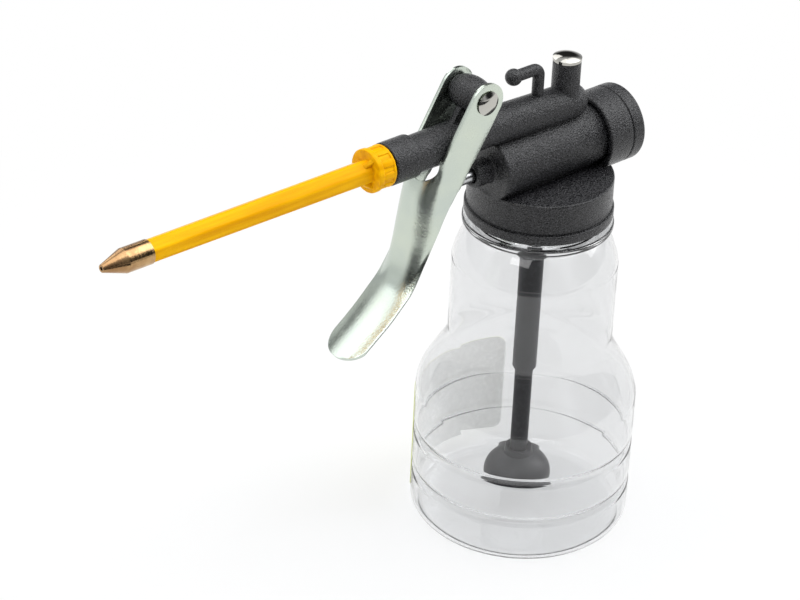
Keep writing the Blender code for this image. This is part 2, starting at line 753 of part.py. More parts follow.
def make_return_spring(look):
    """Spring between the piston and the end cap."""
    x0 = piston_front() + PISTON_LEN + GAP
    x1 = end_cap_floor_x() - GAP
    spring = coil("return_spring", SPRING_WIRE_R, SPRING_COIL_R, x1 - x0, SPRING_TURNS)
    spring.location = (x0, 0, BARREL_Z)
    spring.rotation_euler = (0, math.pi / 2, 0)
    finish(spring, look)


# Outlet and inlet valves

def outlet_ball_z():
    return VALVE_SEAT_Z + seated(VALVE_PORT_R)


def plug_low_z():
    return TOWER_TOP_Z + GAP - PLUG_SHANK


def make_valve_spring(look):
    z0 = outlet_ball_z() + BALL_R + GAP
    z1 = plug_low_z() - GAP
    spring = coil("outlet_spring", VALVE_SPRING_WIRE_R, VALVE_BORE_R - VALVE_SPRING_WIRE_R - 2 * GAP, z1 - z0,
                  VALVE_SPRING_TURNS, per_turn=8)
    spring.location = (TOWER_X, 0, z0)
    finish(spring, look)


def make_valve_plug(look):
    """Domed metal plug that closes the tower."""
    flange_z = TOWER_TOP_Z + GAP
    profile = dome(PLUG_FLANGE_R, PLUG_DOME, flange_z + PLUG_FLANGE_T)
    profile += [(PLUG_FLANGE_R, flange_z), (VALVE_BORE_R - GAP, flange_z), (VALVE_BORE_R - GAP, plug_low_z()),
                (0, plug_low_z())]
    finish(turned("valve_plug", profile, location=(TOWER_X, 0, 0)), look)


# Suction tube, dip tube and foot

def make_suction_tube(look):
    top = SOCKET_Z + SUCTION_SPIGOT - GAP
    shoulder_z = SOCKET_Z - GAP
    spigot_r = SOCKET_BORE_R - GAP
    grip_z = SUCTION_END_Z + DIP_GRIP
    profile = [(spigot_r, top), (spigot_r, shoulder_z), (SUCTION_R, shoulder_z), (SUCTION_R, SUCTION_END_Z),
               (DIP_R + GAP, SUCTION_END_Z), (DIP_R + GAP, grip_z), (SUCTION_BORE_R, grip_z),
               (SUCTION_BORE_R, top)]
    finish(turned("suction_tube", profile, location=(INLET_X, 0, 0), loop=True), look)


def foot_hub_z():
    """Underside of the hub's socket floor, where the dip tube ends."""
    return FOOT_Z + FOOT_H - FOOT_SOCKET


def make_dip_tube(look):
    low = foot_hub_z() + GAP
    high = SUCTION_END_Z + DIP_GRIP - GAP
    dip = tube("dip_tube", DIP_R, DIP_BORE_R, low, high, location=(INLET_X, 0, 0), facets=FACETS_SMALL)
    finish(dip, look)


def make_foot(look):
    """Bell shaped foot with a hub for the dip tube."""
    low = FOOT_Z
    hub_top = FOOT_Z + FOOT_H
    seat = foot_hub_z()
    crown_h = FOOT_H - FOOT_RIM_H - FOOT_CROWN_DROP
    bell = [(FOOT_R * math.cos(a), low + FOOT_RIM_H + crown_h * math.sin(a))
            for a in [math.radians(FOOT_CROWN_DEG * (1 - i / 8)) for i in range(9)]]
    hollow = [(r - FOOT_WALL, max(low + SCREEN_T + GAP, z - FOOT_WALL)) for r, z in bell]
    hollow = [(r, z) for r, z in hollow if z < seat - FOOT_WALL]
    profile = [(FOOT_HUB_R, hub_top)] + bell + [(FOOT_R, low), (FOOT_R - FOOT_WALL, low)]
    profile += hollow[::-1] + [(DIP_BORE_R, seat - FOOT_WALL), (DIP_BORE_R, seat), (DIP_R + GAP, seat),
                               (DIP_R + GAP, hub_top)]
    finish(turned("foot", profile, location=(INLET_X, 0, 0), loop=True), look)


def make_screen(look):
    """Round strainer with a ring of holes, pressed into the foot's mouth."""
    curve = bpy.data.curves.new("foot_screen", "CURVE")
    curve.dimensions = "2D"
    curve.fill_mode = "BOTH"
    curve.extrude = SCREEN_T / 2
    rings = [(0.0, 0.0, FOOT_R - FOOT_WALL - GAP, FACETS)]
    for count, ring_r in SCREEN_RINGS:
        for i in range(count):
            angle = 2 * math.pi * i / count
            rings.append((ring_r * math.cos(angle), ring_r * math.sin(angle), SCREEN_HOLE_R, 8))
    for x, y, radius, facets in rings:
        line = curve.splines.new("POLY")
        line.points.add(facets - 1)
        for point, (a, b) in zip(line.points, arc((x, y), radius, 0, 360, facets)):
            point.co = (a, b, 0, 1)
        line.use_cyclic_u = True
    screen = bpy.data.objects.new("foot_screen", curve)
    bpy.context.scene.collection.objects.link(screen)
    screen.location = (INLET_X, 0, FOOT_Z + SCREEN_T / 2)
    finish(as_mesh(screen, parts), look)


# Spout, its seal and the nozzle

def make_spout(look):
    """Six sided spout in one with its ribbed screw collar."""
    rear, front = COLLAR_X
    floor_x = SLEEVE_X[1] - OUTLET_NECK_LEN - 2 * GAP - SPOUT_SEAL_T
    cup_r = OUTLET_NECK_R + GAP
    socket_x = SPOUT_END_X + NOZZLE_SPIGOT
    edge = COLLAR_EDGE
    flange_x = front + COLLAR_FLANGE_T
    collar = [(COLLAR_R - edge, rear), (COLLAR_R, rear - edge), (COLLAR_R, flange_x),
              (COLLAR_FLANGE_R, flange_x), (COLLAR_FLANGE_R, front + edge), (COLLAR_FLANGE_R - edge, front),
              (0, front), (0, floor_x), (cup_r, floor_x), (cup_r, rear)]
    where = dict(location=(0, 0, OUTLET_Z), along="X")
    spout = turned("spout", collar, loop=True, **where)
    for i in range(COLLAR_RIBS):
        angle = 2 * math.pi * (i + 0.5) / COLLAR_RIBS
        rib = rib_block("collar_rib", COLLAR_R - SINK, COLLAR_FLANGE_R, COLLAR_RIB_W, flange_x - SINK,
                        rear - COLLAR_RIB_END, angle)
        join(spout, rib)
    stem = spout_stem(front + SINK)
    join(spout, stem)
    for i in range(3):
        join(spout, gusset(front, 2 * math.pi * i / 3 + math.pi / 6))
    bore = disc_stack("spout_bore", [(SPOUT_BORE_R, SPOUT_END_X - OVER, floor_x + OVER)], home=cutters,
                      facets=FACETS_SMALL, **where)
    cut(spout, bore)
    socket = disc_stack("nozzle_socket", [(NOZZLE_SPIGOT_R + GAP, SPOUT_END_X - OVER, socket_x + GAP)],
                        home=cutters, facets=FACETS_SMALL, **where)
    cut(spout, socket)
    finish(spout, look)


def rib_block(name, r0, r1, width, x0, x1, angle):
    """A bar along X whose top lies at radius r1, turned round the outlet axis."""
    build = bmesh.new()
    bmesh.ops.create_cube(build, size=1.0)
    bmesh.ops.scale(build, verts=build.verts, vec=(abs(x1 - x0), width, r1 - r0))
    bmesh.ops.translate(build, verts=build.verts, vec=((x0 + x1) / 2, 0, (r0 + r1) / 2))
    mesh = bpy.data.meshes.new(name)
    build.to_mesh(mesh)
    build.free()
    obj = place(bpy.data.objects.new(name, mesh), cutters, (0, 0, OUTLET_Z))
    obj.rotation_euler = (angle, 0, 0)
    return obj


def spout_stem(start_x):
    """Six sided, slightly tapered bar with a corner up and rounded edges."""
    length = start_x - SPOUT_END_X
    build = bmesh.new()
    bmesh.ops.create_cone(build, cap_ends=True, segments=6, radius1=SPOUT_TIP_R, radius2=SPOUT_ROOT_R,
                          depth=length)
    mesh = bpy.data.meshes.new("spout_stem")
    build.to_mesh(mesh)
    build.free()
    stem = place(bpy.data.objects.new("spout_stem", mesh), cutters, (start_x - length / 2, 0, OUTLET_Z), "X")
    round_edges(stem, SPOUT_EDGE)
    return stem


def gusset(front, angle):
    """Small fin between the flange and the spout, turned round the outlet axis."""
    inside_x = front + SINK
    far_x = front - GUSSET_LEN
    outline = [(inside_x, 0), (inside_x, GUSSET_TOP_R), (front, GUSSET_TOP_R), (far_x, SPOUT_ROOT_R - SINK),
               (far_x, 0)]
    fin = prism("gusset", outline, GUSSET_T / 2, home=cutters)
    fin.location = (0, 0, OUTLET_Z)
    fin.rotation_euler = (angle, 0, 0)
    return fin


def make_spout_seal(look):
    x1 = SLEEVE_X[1] - OUTLET_NECK_LEN - GAP
    seal = tube("spout_seal", OUTLET_NECK_R, OUTLET_BORE_R, x1 - SPOUT_SEAL_T, x1, location=(0, 0, OUTLET_Z),
                along="X", facets=FACETS_SMALL)
    finish(seal, look)


def make_nozzle(look):
    rear = SPOUT_END_X - GAP
    cone_x = rear - NOZZLE_BODY
    tip_x = cone_x - NOZZLE_CONE
    edge = NOZZLE_EDGE
    profile = [(NOZZLE_SPIGOT_R, rear + NOZZLE_SPIGOT), (NOZZLE_SPIGOT_R, rear), (NOZZLE_R - edge, rear),
               (NOZZLE_R, rear - edge), (NOZZLE_R, cone_x + edge), (NOZZLE_R - edge, cone_x - edge),
               (NOZZLE_TIP_R, tip_x), (NOZZLE_BORE_R, tip_x), (NOZZLE_BORE_R, rear + NOZZLE_SPIGOT)]
    finish(turned("nozzle", profile, location=(0, 0, OUTLET_Z), along="X", loop=True), look)


# Trigger and rivet

def section(half, depth, corner, opened):
    """Half of the pressed section, from the rear edge of one side wall to the middle of the front.

    Each point is (distance from the middle plane, distance behind the front surface).
    """
    wide = min(corner * BEND_SPREAD, half)
    deep = min(corner, depth)
    walls = [(half, depth + (deep - depth) * i / 3) for i in range(3)]
    bend = [(half - wide + wide * math.cos(a), deep - deep * math.sin(a))
            for a in [math.radians(90 * i / 5) for i in range(6)]]
    flat = [((half - wide) * (1 - i / 3), 0.0) for i in range(1, 4)]
    channel = walls + bend + flat
    last = len(channel) - 1
    crown = [(half * (1 - i / last), depth * (1 - i / last) ** 2) for i in range(last + 1)]
    return [(y + (cy - y) * opened, d + (cd - d) * opened) for (y, d), (cy, cd) in zip(channel, crown)]


def station_frames():
    """Front points of the trigger, each with the way to the tip and the way forward from the sheet."""
    points = [Vector((-u, 0, CAP_TOP_Z + w)) for u, w, *_ in TRIGGER_STATIONS]
    frames = []
    for i, at in enumerate(points):
        run = points[min(i + 1, len(points) - 1)] - points[max(i - 1, 0)]
        run.normalize()
        frames.append((at, run, Vector((run.z, 0, -run.x))))
    return frames


def trigger_front():
    """Loft of the pressed sections: the front and outer sides of the sheet."""
    build = bmesh.new()
    rows = []
    for (at, run, ahead), (_, _, half, depth, corner, opened) in zip(station_frames(), TRIGGER_STATIONS):
        right = section(half, depth, corner, opened)
        left = [(-y, d) for y, d in right[-2::-1]]
        rows.append([build.verts.new(at + Vector((0, y, 0)) - ahead * d) for y, d in right + left])
    for a, b in zip(rows, rows[1:]):
        for k in range(len(a) - 1):
            build.faces.new((a[k], b[k], b[k + 1], a[k + 1]))
    mesh = bpy.data.meshes.new("trigger")
    build.to_mesh(mesh)
    build.free()
    return mesh


def make_trigger(look):
    """One pressing: two flat ears that straddle the outlet, a slotted saddle and a flat forward sweep."""
    trigger = place(bpy.data.objects.new("trigger", trigger_front()), parts)
    sheet = trigger.modifiers.new("sheet", "SOLIDIFY")
    sheet.thickness = SHEET_T
    sheet.offset = -1.0
    sheet.use_even_offset = True
    across = 4 * EAR_IN_Y
    keep(trigger, prism("trigger_side", trigger_side_outline(), across, home=cutters))
    cut(trigger, slot_cutter())
    holes = disc_stack("rivet_hole", [(RIVET_R + GAP, -across, across)], location=(PIVOT_X, 0, PIVOT_Z),
                       along="Y", home=cutters, facets=FACETS_SMALL)
    cut(trigger, holes)
    cut(trigger, tip_cutter())
    finish(trigger, look)


def trigger_side_outline():
    """Side view that keeps the sheet: a round ear end about the rivet, and everything below it."""
    _, run, ahead = station_frames()[1]
    pivot = Vector((PIVOT_X, 0, PIVOT_Z))
    round_end = [pivot + ahead * (EAR_R * math.cos(a)) - run * (EAR_R * math.sin(a))
                 for a in [math.pi * i / 14 for i in range(15)]]
    rear = pivot - ahead * EAR_R + run * EAR_REAR_TRIM
    front = pivot + ahead * EAR_R + run * EAR_TRIM
    wide = ahead * (CAP_TOP_Z / 2)
    far = run * CAP_TOP_Z
    outline = round_end + [rear, rear - wide, rear - wide + far, front + wide + far, front + wide, front]
    return [(at.x, at.z) for at in outline]


def slot_cutter():
    """Block that opens the front between the ears, with a round bottom."""
    half = EAR_IN_Y + SLOT_SHAVE
    frames = station_frames()
    _, run, ahead = frames[1]
    crest = Vector((-TRIGGER_STATIONS[5][0], 0, SLOT_BOTTOM_Z))
    steps = 12
    low = [(half * math.cos(a), half * SLOT_ROUND * (1 - math.sin(a)))
           for a in [math.pi * i / steps for i in range(steps + 1)]]
    outline = low + [(-half, SLOT_TALL), (half, SLOT_TALL)]
    front = [crest - run * up + Vector((0, y, 0)) + ahead * SLOT_AHEAD for y, up in outline]
    back = [crest - run * up + Vector((0, y, 0)) - ahead * SLOT_BACK for y, up in outline]
    return block_between("trigger_slot", front, back)


def block_between(name, front, back):
    """Closed block between two outlines that have the same number of points."""
    build = bmesh.new()
    near = [build.verts.new(at) for at in front]
    far = [build.verts.new(at) for at in back]
    build.faces.new(near)
    build.faces.new(far[::-1])
    for i in range(len(near)):
        j = (i + 1) % len(near)
        build.faces.new((near[i], far[i], far[j], near[j]))
    bmesh.ops.recalc_face_normals(build, faces=build.faces)
    mesh = bpy.data.meshes.new(name)
    build.to_mesh(mesh)
    build.free()
    return place(bpy.data.objects.new(name, mesh), cutters)


def tip_cutter():
    """Everything outside the round end of the sheet, seen square to the sheet near its tip."""
    at, run, ahead = station_frames()[-1]
    centre = at - run * (TRIGGER_TIP_R + TIP_SPARE)
    ring = [(TRIGGER_TIP_R * math.cos(a), TRIGGER_TIP_R * math.sin(a))
            for a in [math.pi * i / 12 for i in range(13)]]
    wide = 2.5 * TRIGGER_TIP_R
    outline = [(wide, -SHEET_T / 2), (wide, wide), (-wide, wide), (-wide, -SHEET_T / 2)] + ring[::-1]
    thick = ahead * TRIGGER_TIP_R
    base = [centre + Vector((0, y, 0)) + run * s for y, s in outline]
    return block_between("trigger_tip", [b + thick for b in base], [b - thick for b in base])


def rod_tip_x():
    """Front end of the rod, a gap behind the rear of the sheet at the rod's height."""
    level = BARREL_Z - CAP_TOP_Z
    pairs = zip(TRIGGER_STATIONS, TRIGGER_STATIONS[1:])
    above, below = next((a, b) for a, b in pairs if a[1] >= level >= b[1])
    drop = above[1] - below[1]
    front = above[0] + (below[0] - above[0]) * (above[1] - level) / drop
    slope = math.hypot(below[0] - above[0], drop) / drop
    return -(front - SHEET_T * slope - 2 * GAP)


def make_rivet(look):
    """Rivet through both ears and the boss, with a domed head on the -Y side and a smaller tail."""
    ear_y = EAR_IN_Y + SHEET_T + GAP
    head = dome(RIVET_HEAD_R, RIVET_DOME, ear_y + RIVET_RIM)
    profile = dome(RIVET_TAIL_R, RIVET_TAIL_DOME, ear_y) + [(RIVET_R, ear_y), (RIVET_R, -ear_y),
                                                            (RIVET_HEAD_R, -ear_y)]
    profile += [(r, -y) for r, y in head[::-1]]
    finish(turned("trigger_rivet", profile, location=(PIVOT_X, 0, PIVOT_Z), along="Y"), look)


clear = material("clear_plastic", (0.93, 0.95, 0.96), 0.05, alpha=0.3)
paper = material("label_paper", (0.62, 0.63, 0.62), 0.6)
black = material("black_plastic", (0.035, 0.035, 0.038), 0.5)
black_tube = material("black_tube_plastic", (0.025, 0.025, 0.027), 0.4)
rubber = material("rubber", (0.02, 0.02, 0.02), 0.8)
steel = material("steel", (0.62, 0.63, 0.64), 0.25, 1.0)
zinc = material("zinc_plate", (0.72, 0.76, 0.74), 0.3, 1.0)
chrome = material("bright_plate", (0.8, 0.8, 0.82), 0.12, 1.0)
white = material("white_plastic", (0.85, 0.85, 0.83), 0.4)
yellow = material("yellow_plastic", (0.95, 0.55, 0.02), 0.35)
brass = material("brass", (0.78, 0.56, 0.25), 0.25, 1.0)
mesh_wire = material("strainer", (0.5, 0.5, 0.5), 0.35, 1.0)

make_bottle(clear)
make_label(paper)
make_gasket(rubber)
make_head(black)
make_end_cap(black)
make_end_seal(rubber)
make_rod(steel)
make_rod_seal(rubber)
make_piston(white)
make_piston_ring(rubber)
make_piston_nut(steel)
make_return_spring(steel)
finish(ball("outlet_ball", BALL_R, (TOWER_X, 0, outlet_ball_z())), steel)
make_valve_spring(steel)
make_valve_plug(chrome)
finish(ball("inlet_ball", BALL_R, (INLET_X, 0, inlet_ball_z())), steel)
make_suction_tube(black_tube)
make_dip_tube(black_tube)
make_foot(black_tube)
make_screen(mesh_wire)
make_spout(yellow)
make_spout_seal(rubber)
make_nozzle(brass)
make_trigger(zinc)
make_rivet(chrome)
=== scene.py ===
# %% [markdown]
# # A hand pump oil can
# The can has a clear blown bottle, a black moulded pump head that screws onto it, a zinc plated steel
# trigger, and a yellow spout with a brass nozzle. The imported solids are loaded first, as a frame that
# never moves. Every piece that shows is then made again with finer curves and a real finish, and it
# rides on the same body as the solid that it stands for. Sizes are written in millimetres, as they
# would be read off a ruler, and turn into metres where a mesh is made.

# %% Load the frame
import math

import bmesh
import bpy
from mathutils import Matrix, Vector


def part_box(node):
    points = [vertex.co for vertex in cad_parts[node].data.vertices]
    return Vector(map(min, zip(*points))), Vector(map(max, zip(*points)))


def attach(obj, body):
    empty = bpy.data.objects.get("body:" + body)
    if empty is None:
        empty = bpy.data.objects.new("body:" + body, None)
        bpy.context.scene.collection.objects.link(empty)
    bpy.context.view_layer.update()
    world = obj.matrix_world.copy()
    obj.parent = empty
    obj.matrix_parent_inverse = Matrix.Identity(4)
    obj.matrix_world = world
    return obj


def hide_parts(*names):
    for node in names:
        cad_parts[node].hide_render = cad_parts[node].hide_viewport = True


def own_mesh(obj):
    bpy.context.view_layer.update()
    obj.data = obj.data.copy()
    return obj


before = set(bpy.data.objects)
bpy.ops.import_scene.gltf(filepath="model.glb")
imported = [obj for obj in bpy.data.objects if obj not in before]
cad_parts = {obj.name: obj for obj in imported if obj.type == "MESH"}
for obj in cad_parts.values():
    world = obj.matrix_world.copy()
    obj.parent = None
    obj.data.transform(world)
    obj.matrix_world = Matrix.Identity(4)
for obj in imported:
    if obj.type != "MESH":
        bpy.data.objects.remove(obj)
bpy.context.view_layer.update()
MM = 0.001

# %% [markdown]
# ## Camera
# The photograph was taken from the spout's side and from above, with a long lens. Looking along a long
# lens keeps the bottle's sides almost parallel. The camera is tipped down and given a small roll, which
# matches the slight lean of the bottle in the picture, and then goes round the upright axis.

# %% Place the camera
LENS = 148.6
SENSOR = 36.0
DISTANCE = 1063.1
TILT_DOWN = math.radians(31.24)
ROUND = Matrix.Rotation(-math.radians(41.3), 4, "Z")
ROLL = math.radians(2.74)
AIM = Vector((-42.34, 0.0, 76.68))


def linked(name, data):
    """A new object for this data, in the scene."""
    made = bpy.data.objects.new(name, data)
    bpy.context.scene.collection.objects.link(made)
    return made


def add_camera():
    ahead = Vector((0, math.cos(TILT_DOWN), -math.sin(TILT_DOWN)))
    above = Vector((0, math.sin(TILT_DOWN), math.cos(TILT_DOWN)))
    right = Vector((1, 0, 0))
    across = math.cos(ROLL) * right + math.sin(ROLL) * above
    upward = math.cos(ROLL) * above - math.sin(ROLL) * right
    spot = (AIM - DISTANCE * ahead) * MM
    seen = Matrix([[across[i], upward[i], -ahead[i], spot[i]] for i in range(3)] + [[0, 0, 0, 1]])
    camera = linked("camera", bpy.data.cameras.new("camera"))
    camera.data.lens = LENS
    camera.data.sensor_width = SENSOR
    camera.data.clip_end = 10.0
    camera.matrix_world = ROUND @ seen
    bpy.context.scene.camera = camera
    return camera


camera = add_camera()
print("camera at", [round(v, 3) for v in camera.matrix_world.translation])

# %% [markdown]
# ## Studio
# The photograph is a white studio shot. A wide sheet of white floor carries a faint shadow. Four large
# soft lamps stand round the can, and the world fills in from everywhere. Rays straight from the camera
# find a white world, while reflections and light bent by the bottle find a room that is darker toward
# the horizon, which is what gives black plastic and steel their shape. A black card lies on the floor
# in front, out of the camera's sight, as photographers use to draw a dark line on bright metal, and
# cards in the world, dark and light, do the same behind the camera, at the back and overhead.

# %% Colour management
bpy.context.scene.view_settings.view_transform = "Standard"


# %% Small helpers for node trees
def feed(tree, socket, value):
    """Link an input to a socket or to a node's first output, or set it to a plain value."""
    if isinstance(value, bpy.types.Node):
        value = value.outputs[0]
    if isinstance(value, bpy.types.NodeSocket):
        tree.links.new(value, socket)
    else:
        socket.default_value = value


def node(tree, kind, *values, **named):
    """Add a node. Values go to its inputs in order, named ones to a property or an input."""
    made = tree.nodes.new(kind)
    for key in [key for key in named if hasattr(made, key)]:
        setattr(made, key, named.pop(key))
    for socket, value in zip(made.inputs, values):
        feed(tree, socket, value)
    for key, value in named.items():
        feed(tree, made.inputs[key.replace("_", " ")], value)
    return made


def maths(tree, operation, a, b):
    return node(tree, "ShaderNodeMath", a, b, operation=operation).outputs[0]


def spread(tree, fac, low, high, to_low=0.0, to_high=1.0, **more):
    """Stretch the run from low to high onto another run."""
    return node(tree, "ShaderNodeMapRange", fac, low, high, to_low, to_high, **more).outputs["Result"]


# %% World
WHITE_LIGHT = (1, 1, 1, 1)
# The room's colour at the horizon and at this height
ROOM_COLOURS = ((0.0, (0.50, 0.51, 0.52, 1)), (0.75, (0.80, 0.81, 0.82, 1)))
# Cards round the can: direction, how wide the middle and the soft rim are in degrees, then the tone
CARDS = {
    "dark behind the camera": ((-0.72, -0.62, 0.10), 34, 58, 0.04),
    "dark back right": ((0.565, 0.642, 0.50), 15, 30, 0.04),
    "dark front right": ((0.56, -0.78, 0.24), 12, 28, 0.04),
    "dark back": ((-0.22, 0.86, 0.46), 4, 11, 0.04),
    "light back left": ((-0.50, 0.50, 0.71), 14, 24, 2.3),
    "light left": ((-0.80, 0.60, 0.05), 10, 24, 1.35),
    "light overhead right": ((0.55, -0.15, 0.82), 16, 34, 3.8),
    "light right": ((0.86, -0.28, 0.42), 8, 20, 2.4),
}


def card_masks(tree, way):
    """How each card changes the room's light: by nothing outside it, and by its tone in its middle."""
    left = 1.0
    for spot, inner, outer, tone in CARDS.values():
        facing = node(tree, "ShaderNodeVectorMath", way, Vector(spot).normalized(), operation="DOT_PRODUCT")
        fade = spread(tree, facing.outputs["Value"], math.cos(math.radians(outer)),
                      math.cos(math.radians(inner)), 1.0, tone, interpolation_type="SMOOTHSTEP")
        left = maths(tree, "MULTIPLY", left, fade)
    return left


def make_world():
    world = bpy.data.worlds.new("white_studio")
    bpy.context.scene.world = world
    world.use_nodes = True
    tree = world.node_tree
    tree.nodes.clear()
    way = node(tree, "ShaderNodeTexCoord").outputs["Generated"]
    height = node(tree, "ShaderNodeSeparateXYZ", way).outputs["Z"]
    ramp = node(tree, "ShaderNodeValToRGB", height)
    for stop, (position, colour) in zip(ramp.color_ramp.elements, ROOM_COLOURS):
        stop.position = position
        stop.color = colour
    room = node(tree, "ShaderNodeBackground", ramp, card_masks(tree, way))
    white = node(tree, "ShaderNodeBackground", WHITE_LIGHT, 1.0)
    straight = node(tree, "ShaderNodeLightPath").outputs["Is Camera Ray"]
    node(tree, "ShaderNodeOutputWorld", node(tree, "ShaderNodeMixShader", straight, room, white))
    return world


print("world:", make_world().name)

# %% Floor
FLOOR_SIZE = 6.0
FLOOR_DROP = 0.2
FLOOR_GLOW = 0.64
FADE_FROM = 0.06
FADE_TO = 0.30


def plane(name, size, matrix):
    mesh = bpy.data.meshes.new(name)
    x, y = (side / 2 for side in size)
    mesh.from_pydata([(-x, -y, 0), (x, -y, 0), (x, y, 0), (-x, y, 0)], [], [(0, 1, 2, 3)])
    mesh.transform(matrix)
    made = linked(name, mesh)
    return made


def floor_finish():
    """White sheet: part of it glows for the camera, the rest is lit and so keeps the shadow.

    Away from the can it turns into plain white, so that no horizon shows.
    """
    made = bpy.data.materials.new("white_floor")
    made.use_nodes = True
    tree = made.node_tree
    tree.nodes.clear()
    lit = node(tree, "ShaderNodeBsdfDiffuse", (0.80, 0.80, 0.80, 1))
    shown = node(tree, "ShaderNodeBsdfDiffuse", (0.25, 0.25, 0.25, 1))
    near = node(tree, "ShaderNodeAddShader", shown, node(tree, "ShaderNodeEmission", WHITE_LIGHT, FLOOR_GLOW))
    place = node(tree, "ShaderNodeTexCoord").outputs["Object"]
    away = node(tree, "ShaderNodeVectorMath", place, operation="LENGTH").outputs["Value"]
    fade = spread(tree, away, FADE_FROM, FADE_TO, interpolation_type="SMOOTHSTEP")
    seen = node(tree, "ShaderNodeMixShader", fade, near, node(tree, "ShaderNodeEmission", WHITE_LIGHT, 1.0))
    path = node(tree, "ShaderNodeLightPath").outputs
    straight = maths(tree, "MAXIMUM", path["Is Camera Ray"], path["Is Transmission Ray"])
    either = maths(tree, "MAXIMUM", straight, path["Is Glossy Ray"])
    node(tree, "ShaderNodeOutputMaterial", node(tree, "ShaderNodeMixShader", either, lit, seen))
    return made


floor = plane("floor", (FLOOR_SIZE, FLOOR_SIZE), Matrix.Translation((0, 0, -FLOOR_DROP * MM)))
floor.data.materials.append(floor_finish())
print("floor:", FLOOR_SIZE, "m wide")

# %% Black card in front, for reflections and light bent by the bottle
CARD_SIZE = (2.6, 1.5)
CARD_PLACE = (-0.76, -0.86, 0.0005)
CARD_TONE = (0.01, 0.01, 0.012, 1)

card = plane("black_card", CARD_SIZE, Matrix.Translation(CARD_PLACE) @ ROUND)
black = bpy.data.materials.new("black_card")
black.use_nodes = True
black.node_tree.nodes["Principled BSDF"].inputs["Base Color"].default_value = CARD_TONE
black.node_tree.nodes["Principled BSDF"].inputs["Roughness"].default_value = 0.9
card.data.materials.append(black)
for kind in ("camera", "diffuse", "shadow", "volume_scatter"):
    setattr(card, "visible_" + kind, False)
print("card:", CARD_SIZE)

# %% Soft lamps
# Place and side in metres, then the power
LAMPS = {
    "over": ((-0.10, 0.00, 1.10), 0.90, 3.4),
    "key": ((-0.85, -0.35, 0.95), 0.60, 3.2),
    "side": ((0.85, -0.45, 0.60), 0.50, 1.6),
    "back": ((0.15, 0.95, 0.75), 0.60, 2.0),
}
AIMED_AT = Vector((-0.03, 0, 0.1))

for name, (place, side, power) in LAMPS.items():
    lamp = linked(name + "_lamp", bpy.data.lights.new(name + "_lamp", "AREA"))
    lamp.data.shape = "SQUARE"
    lamp.data.size = side
    lamp.data.energy = power
    lamp.location = place
    lamp.rotation_euler = (AIMED_AT - Vector(place)).to_track_quat("-Z", "Y").to_euler()
print("lamps:", len(LAMPS))

# %% [markdown]
# ## Surface effects
# Some effects belong to more than one finish, so each is a node group that puts out masks and heights.
# Moulded plastic has the fine grain of the mould, which breaks up its highlights. Plated steel clouds a
# little and is peppered at a smaller scale. Turned metal keeps fine rings from the lathe. All of them
# read Object coordinates, so they stay on the piece whatever moves.

# %% Group helper
SOCKETS = {float: "Float", int: "Int", Vector: "Vector", type(None): "Material"}


def shared(name, kind, outputs, **inputs):
    """A node tree with named sockets, and the nodes inside that stand for them."""
    tree = bpy.data.node_groups.new(name, kind)
    for label, value in inputs.items():
        made = tree.interface.new_socket(label.replace("_", " "), in_out="INPUT",
                                         socket_type="NodeSocket" + SOCKETS[type(value)])
        if value is not None:
            made.default_value = value
    out_kind = "NodeSocketFloat" if kind == "ShaderNodeTree" else "NodeSocketGeometry"
    for label in outputs:
        tree.interface.new_socket(label, in_out="OUTPUT", socket_type=out_kind)
    return tree, node(tree, "NodeGroupInput").outputs, node(tree, "NodeGroupOutput").inputs


def on_object(tree):
    return node(tree, "ShaderNodeTexCoord").outputs["Object"]


def noise(tree, where, scale, detail=2.0, roughness=0.5):
    return node(tree, "ShaderNodeTexNoise", Vector=where, Scale=scale, Detail=detail,
                Roughness=roughness).outputs["Fac"]


# %% Mould grain
def make_grain():
    """Pebbled grain of a spark eroded mould, with a slow waviness below it."""
    tree, come, go = shared("mould_grain", "ShaderNodeTree", ("Height", "Speckle"), Scale=1800.0)
    where = on_object(tree)
    fine = noise(tree, where, come["Scale"], 3.0, 0.6)
    cells = node(tree, "ShaderNodeTexVoronoi", feature="SMOOTH_F1", Vector=where, Scale=come["Scale"])
    pebble = maths(tree, "ADD", fine, maths(tree, "MULTIPLY", cells.outputs["Distance"], 0.8))
    slow = maths(tree, "MULTIPLY", noise(tree, where, 90.0, 1.0), 1.5)
    feed(tree, go["Height"], maths(tree, "ADD", pebble, slow))
    feed(tree, go["Speckle"], spread(tree, fine, 0.46, 0.66))
    return tree


GRAIN = make_grain()


# %% Plating
def make_plating():
    """Cloudy tone and a peppered height, as zinc and nickel plating have."""
    tree, come, go = shared("plating", "ShaderNodeTree", ("Cloud", "Pepper"), Cloud_Scale=70.0,
                            Pepper_Scale=2600.0)
    where = on_object(tree)
    cloud = noise(tree, where, come["Cloud Scale"], 3.0, 0.55)
    feed(tree, go["Cloud"], spread(tree, cloud, 0.3, 0.7))
    feed(tree, go["Pepper"], noise(tree, where, come["Pepper Scale"], 2.0, 0.6))
    return tree


PLATING = make_plating()


# %% Lathe rings
def make_rings():
    """Fine rings along one axis, a little uneven, for metal that was turned."""
    tree, come, go = shared("lathe_rings", "ShaderNodeTree", ("Rings",), Spacing=9000.0)
    split = node(tree, "ShaderNodeSeparateXYZ", on_object(tree))
    along = maths(tree, "MULTIPLY", split.outputs["X"], come["Spacing"])
    line = node(tree, "ShaderNodeTexNoise", noise_dimensions="1D", W=along, Detail=2.0, Scale=1.0)
    feed(tree, go["Rings"], line.outputs["Fac"])
    return tree


RINGS = make_rings()
print("groups:", [tree.name for tree in (GRAIN, PLATING, RINGS)])

# %% [markdown]
# ## Finishes
# Each finish is one material around a Principled shader. Colours are written as they would measure in
# plain light. Numbers that are the same all over sit on the shader itself, and only what varies over
# the surface comes from nodes.


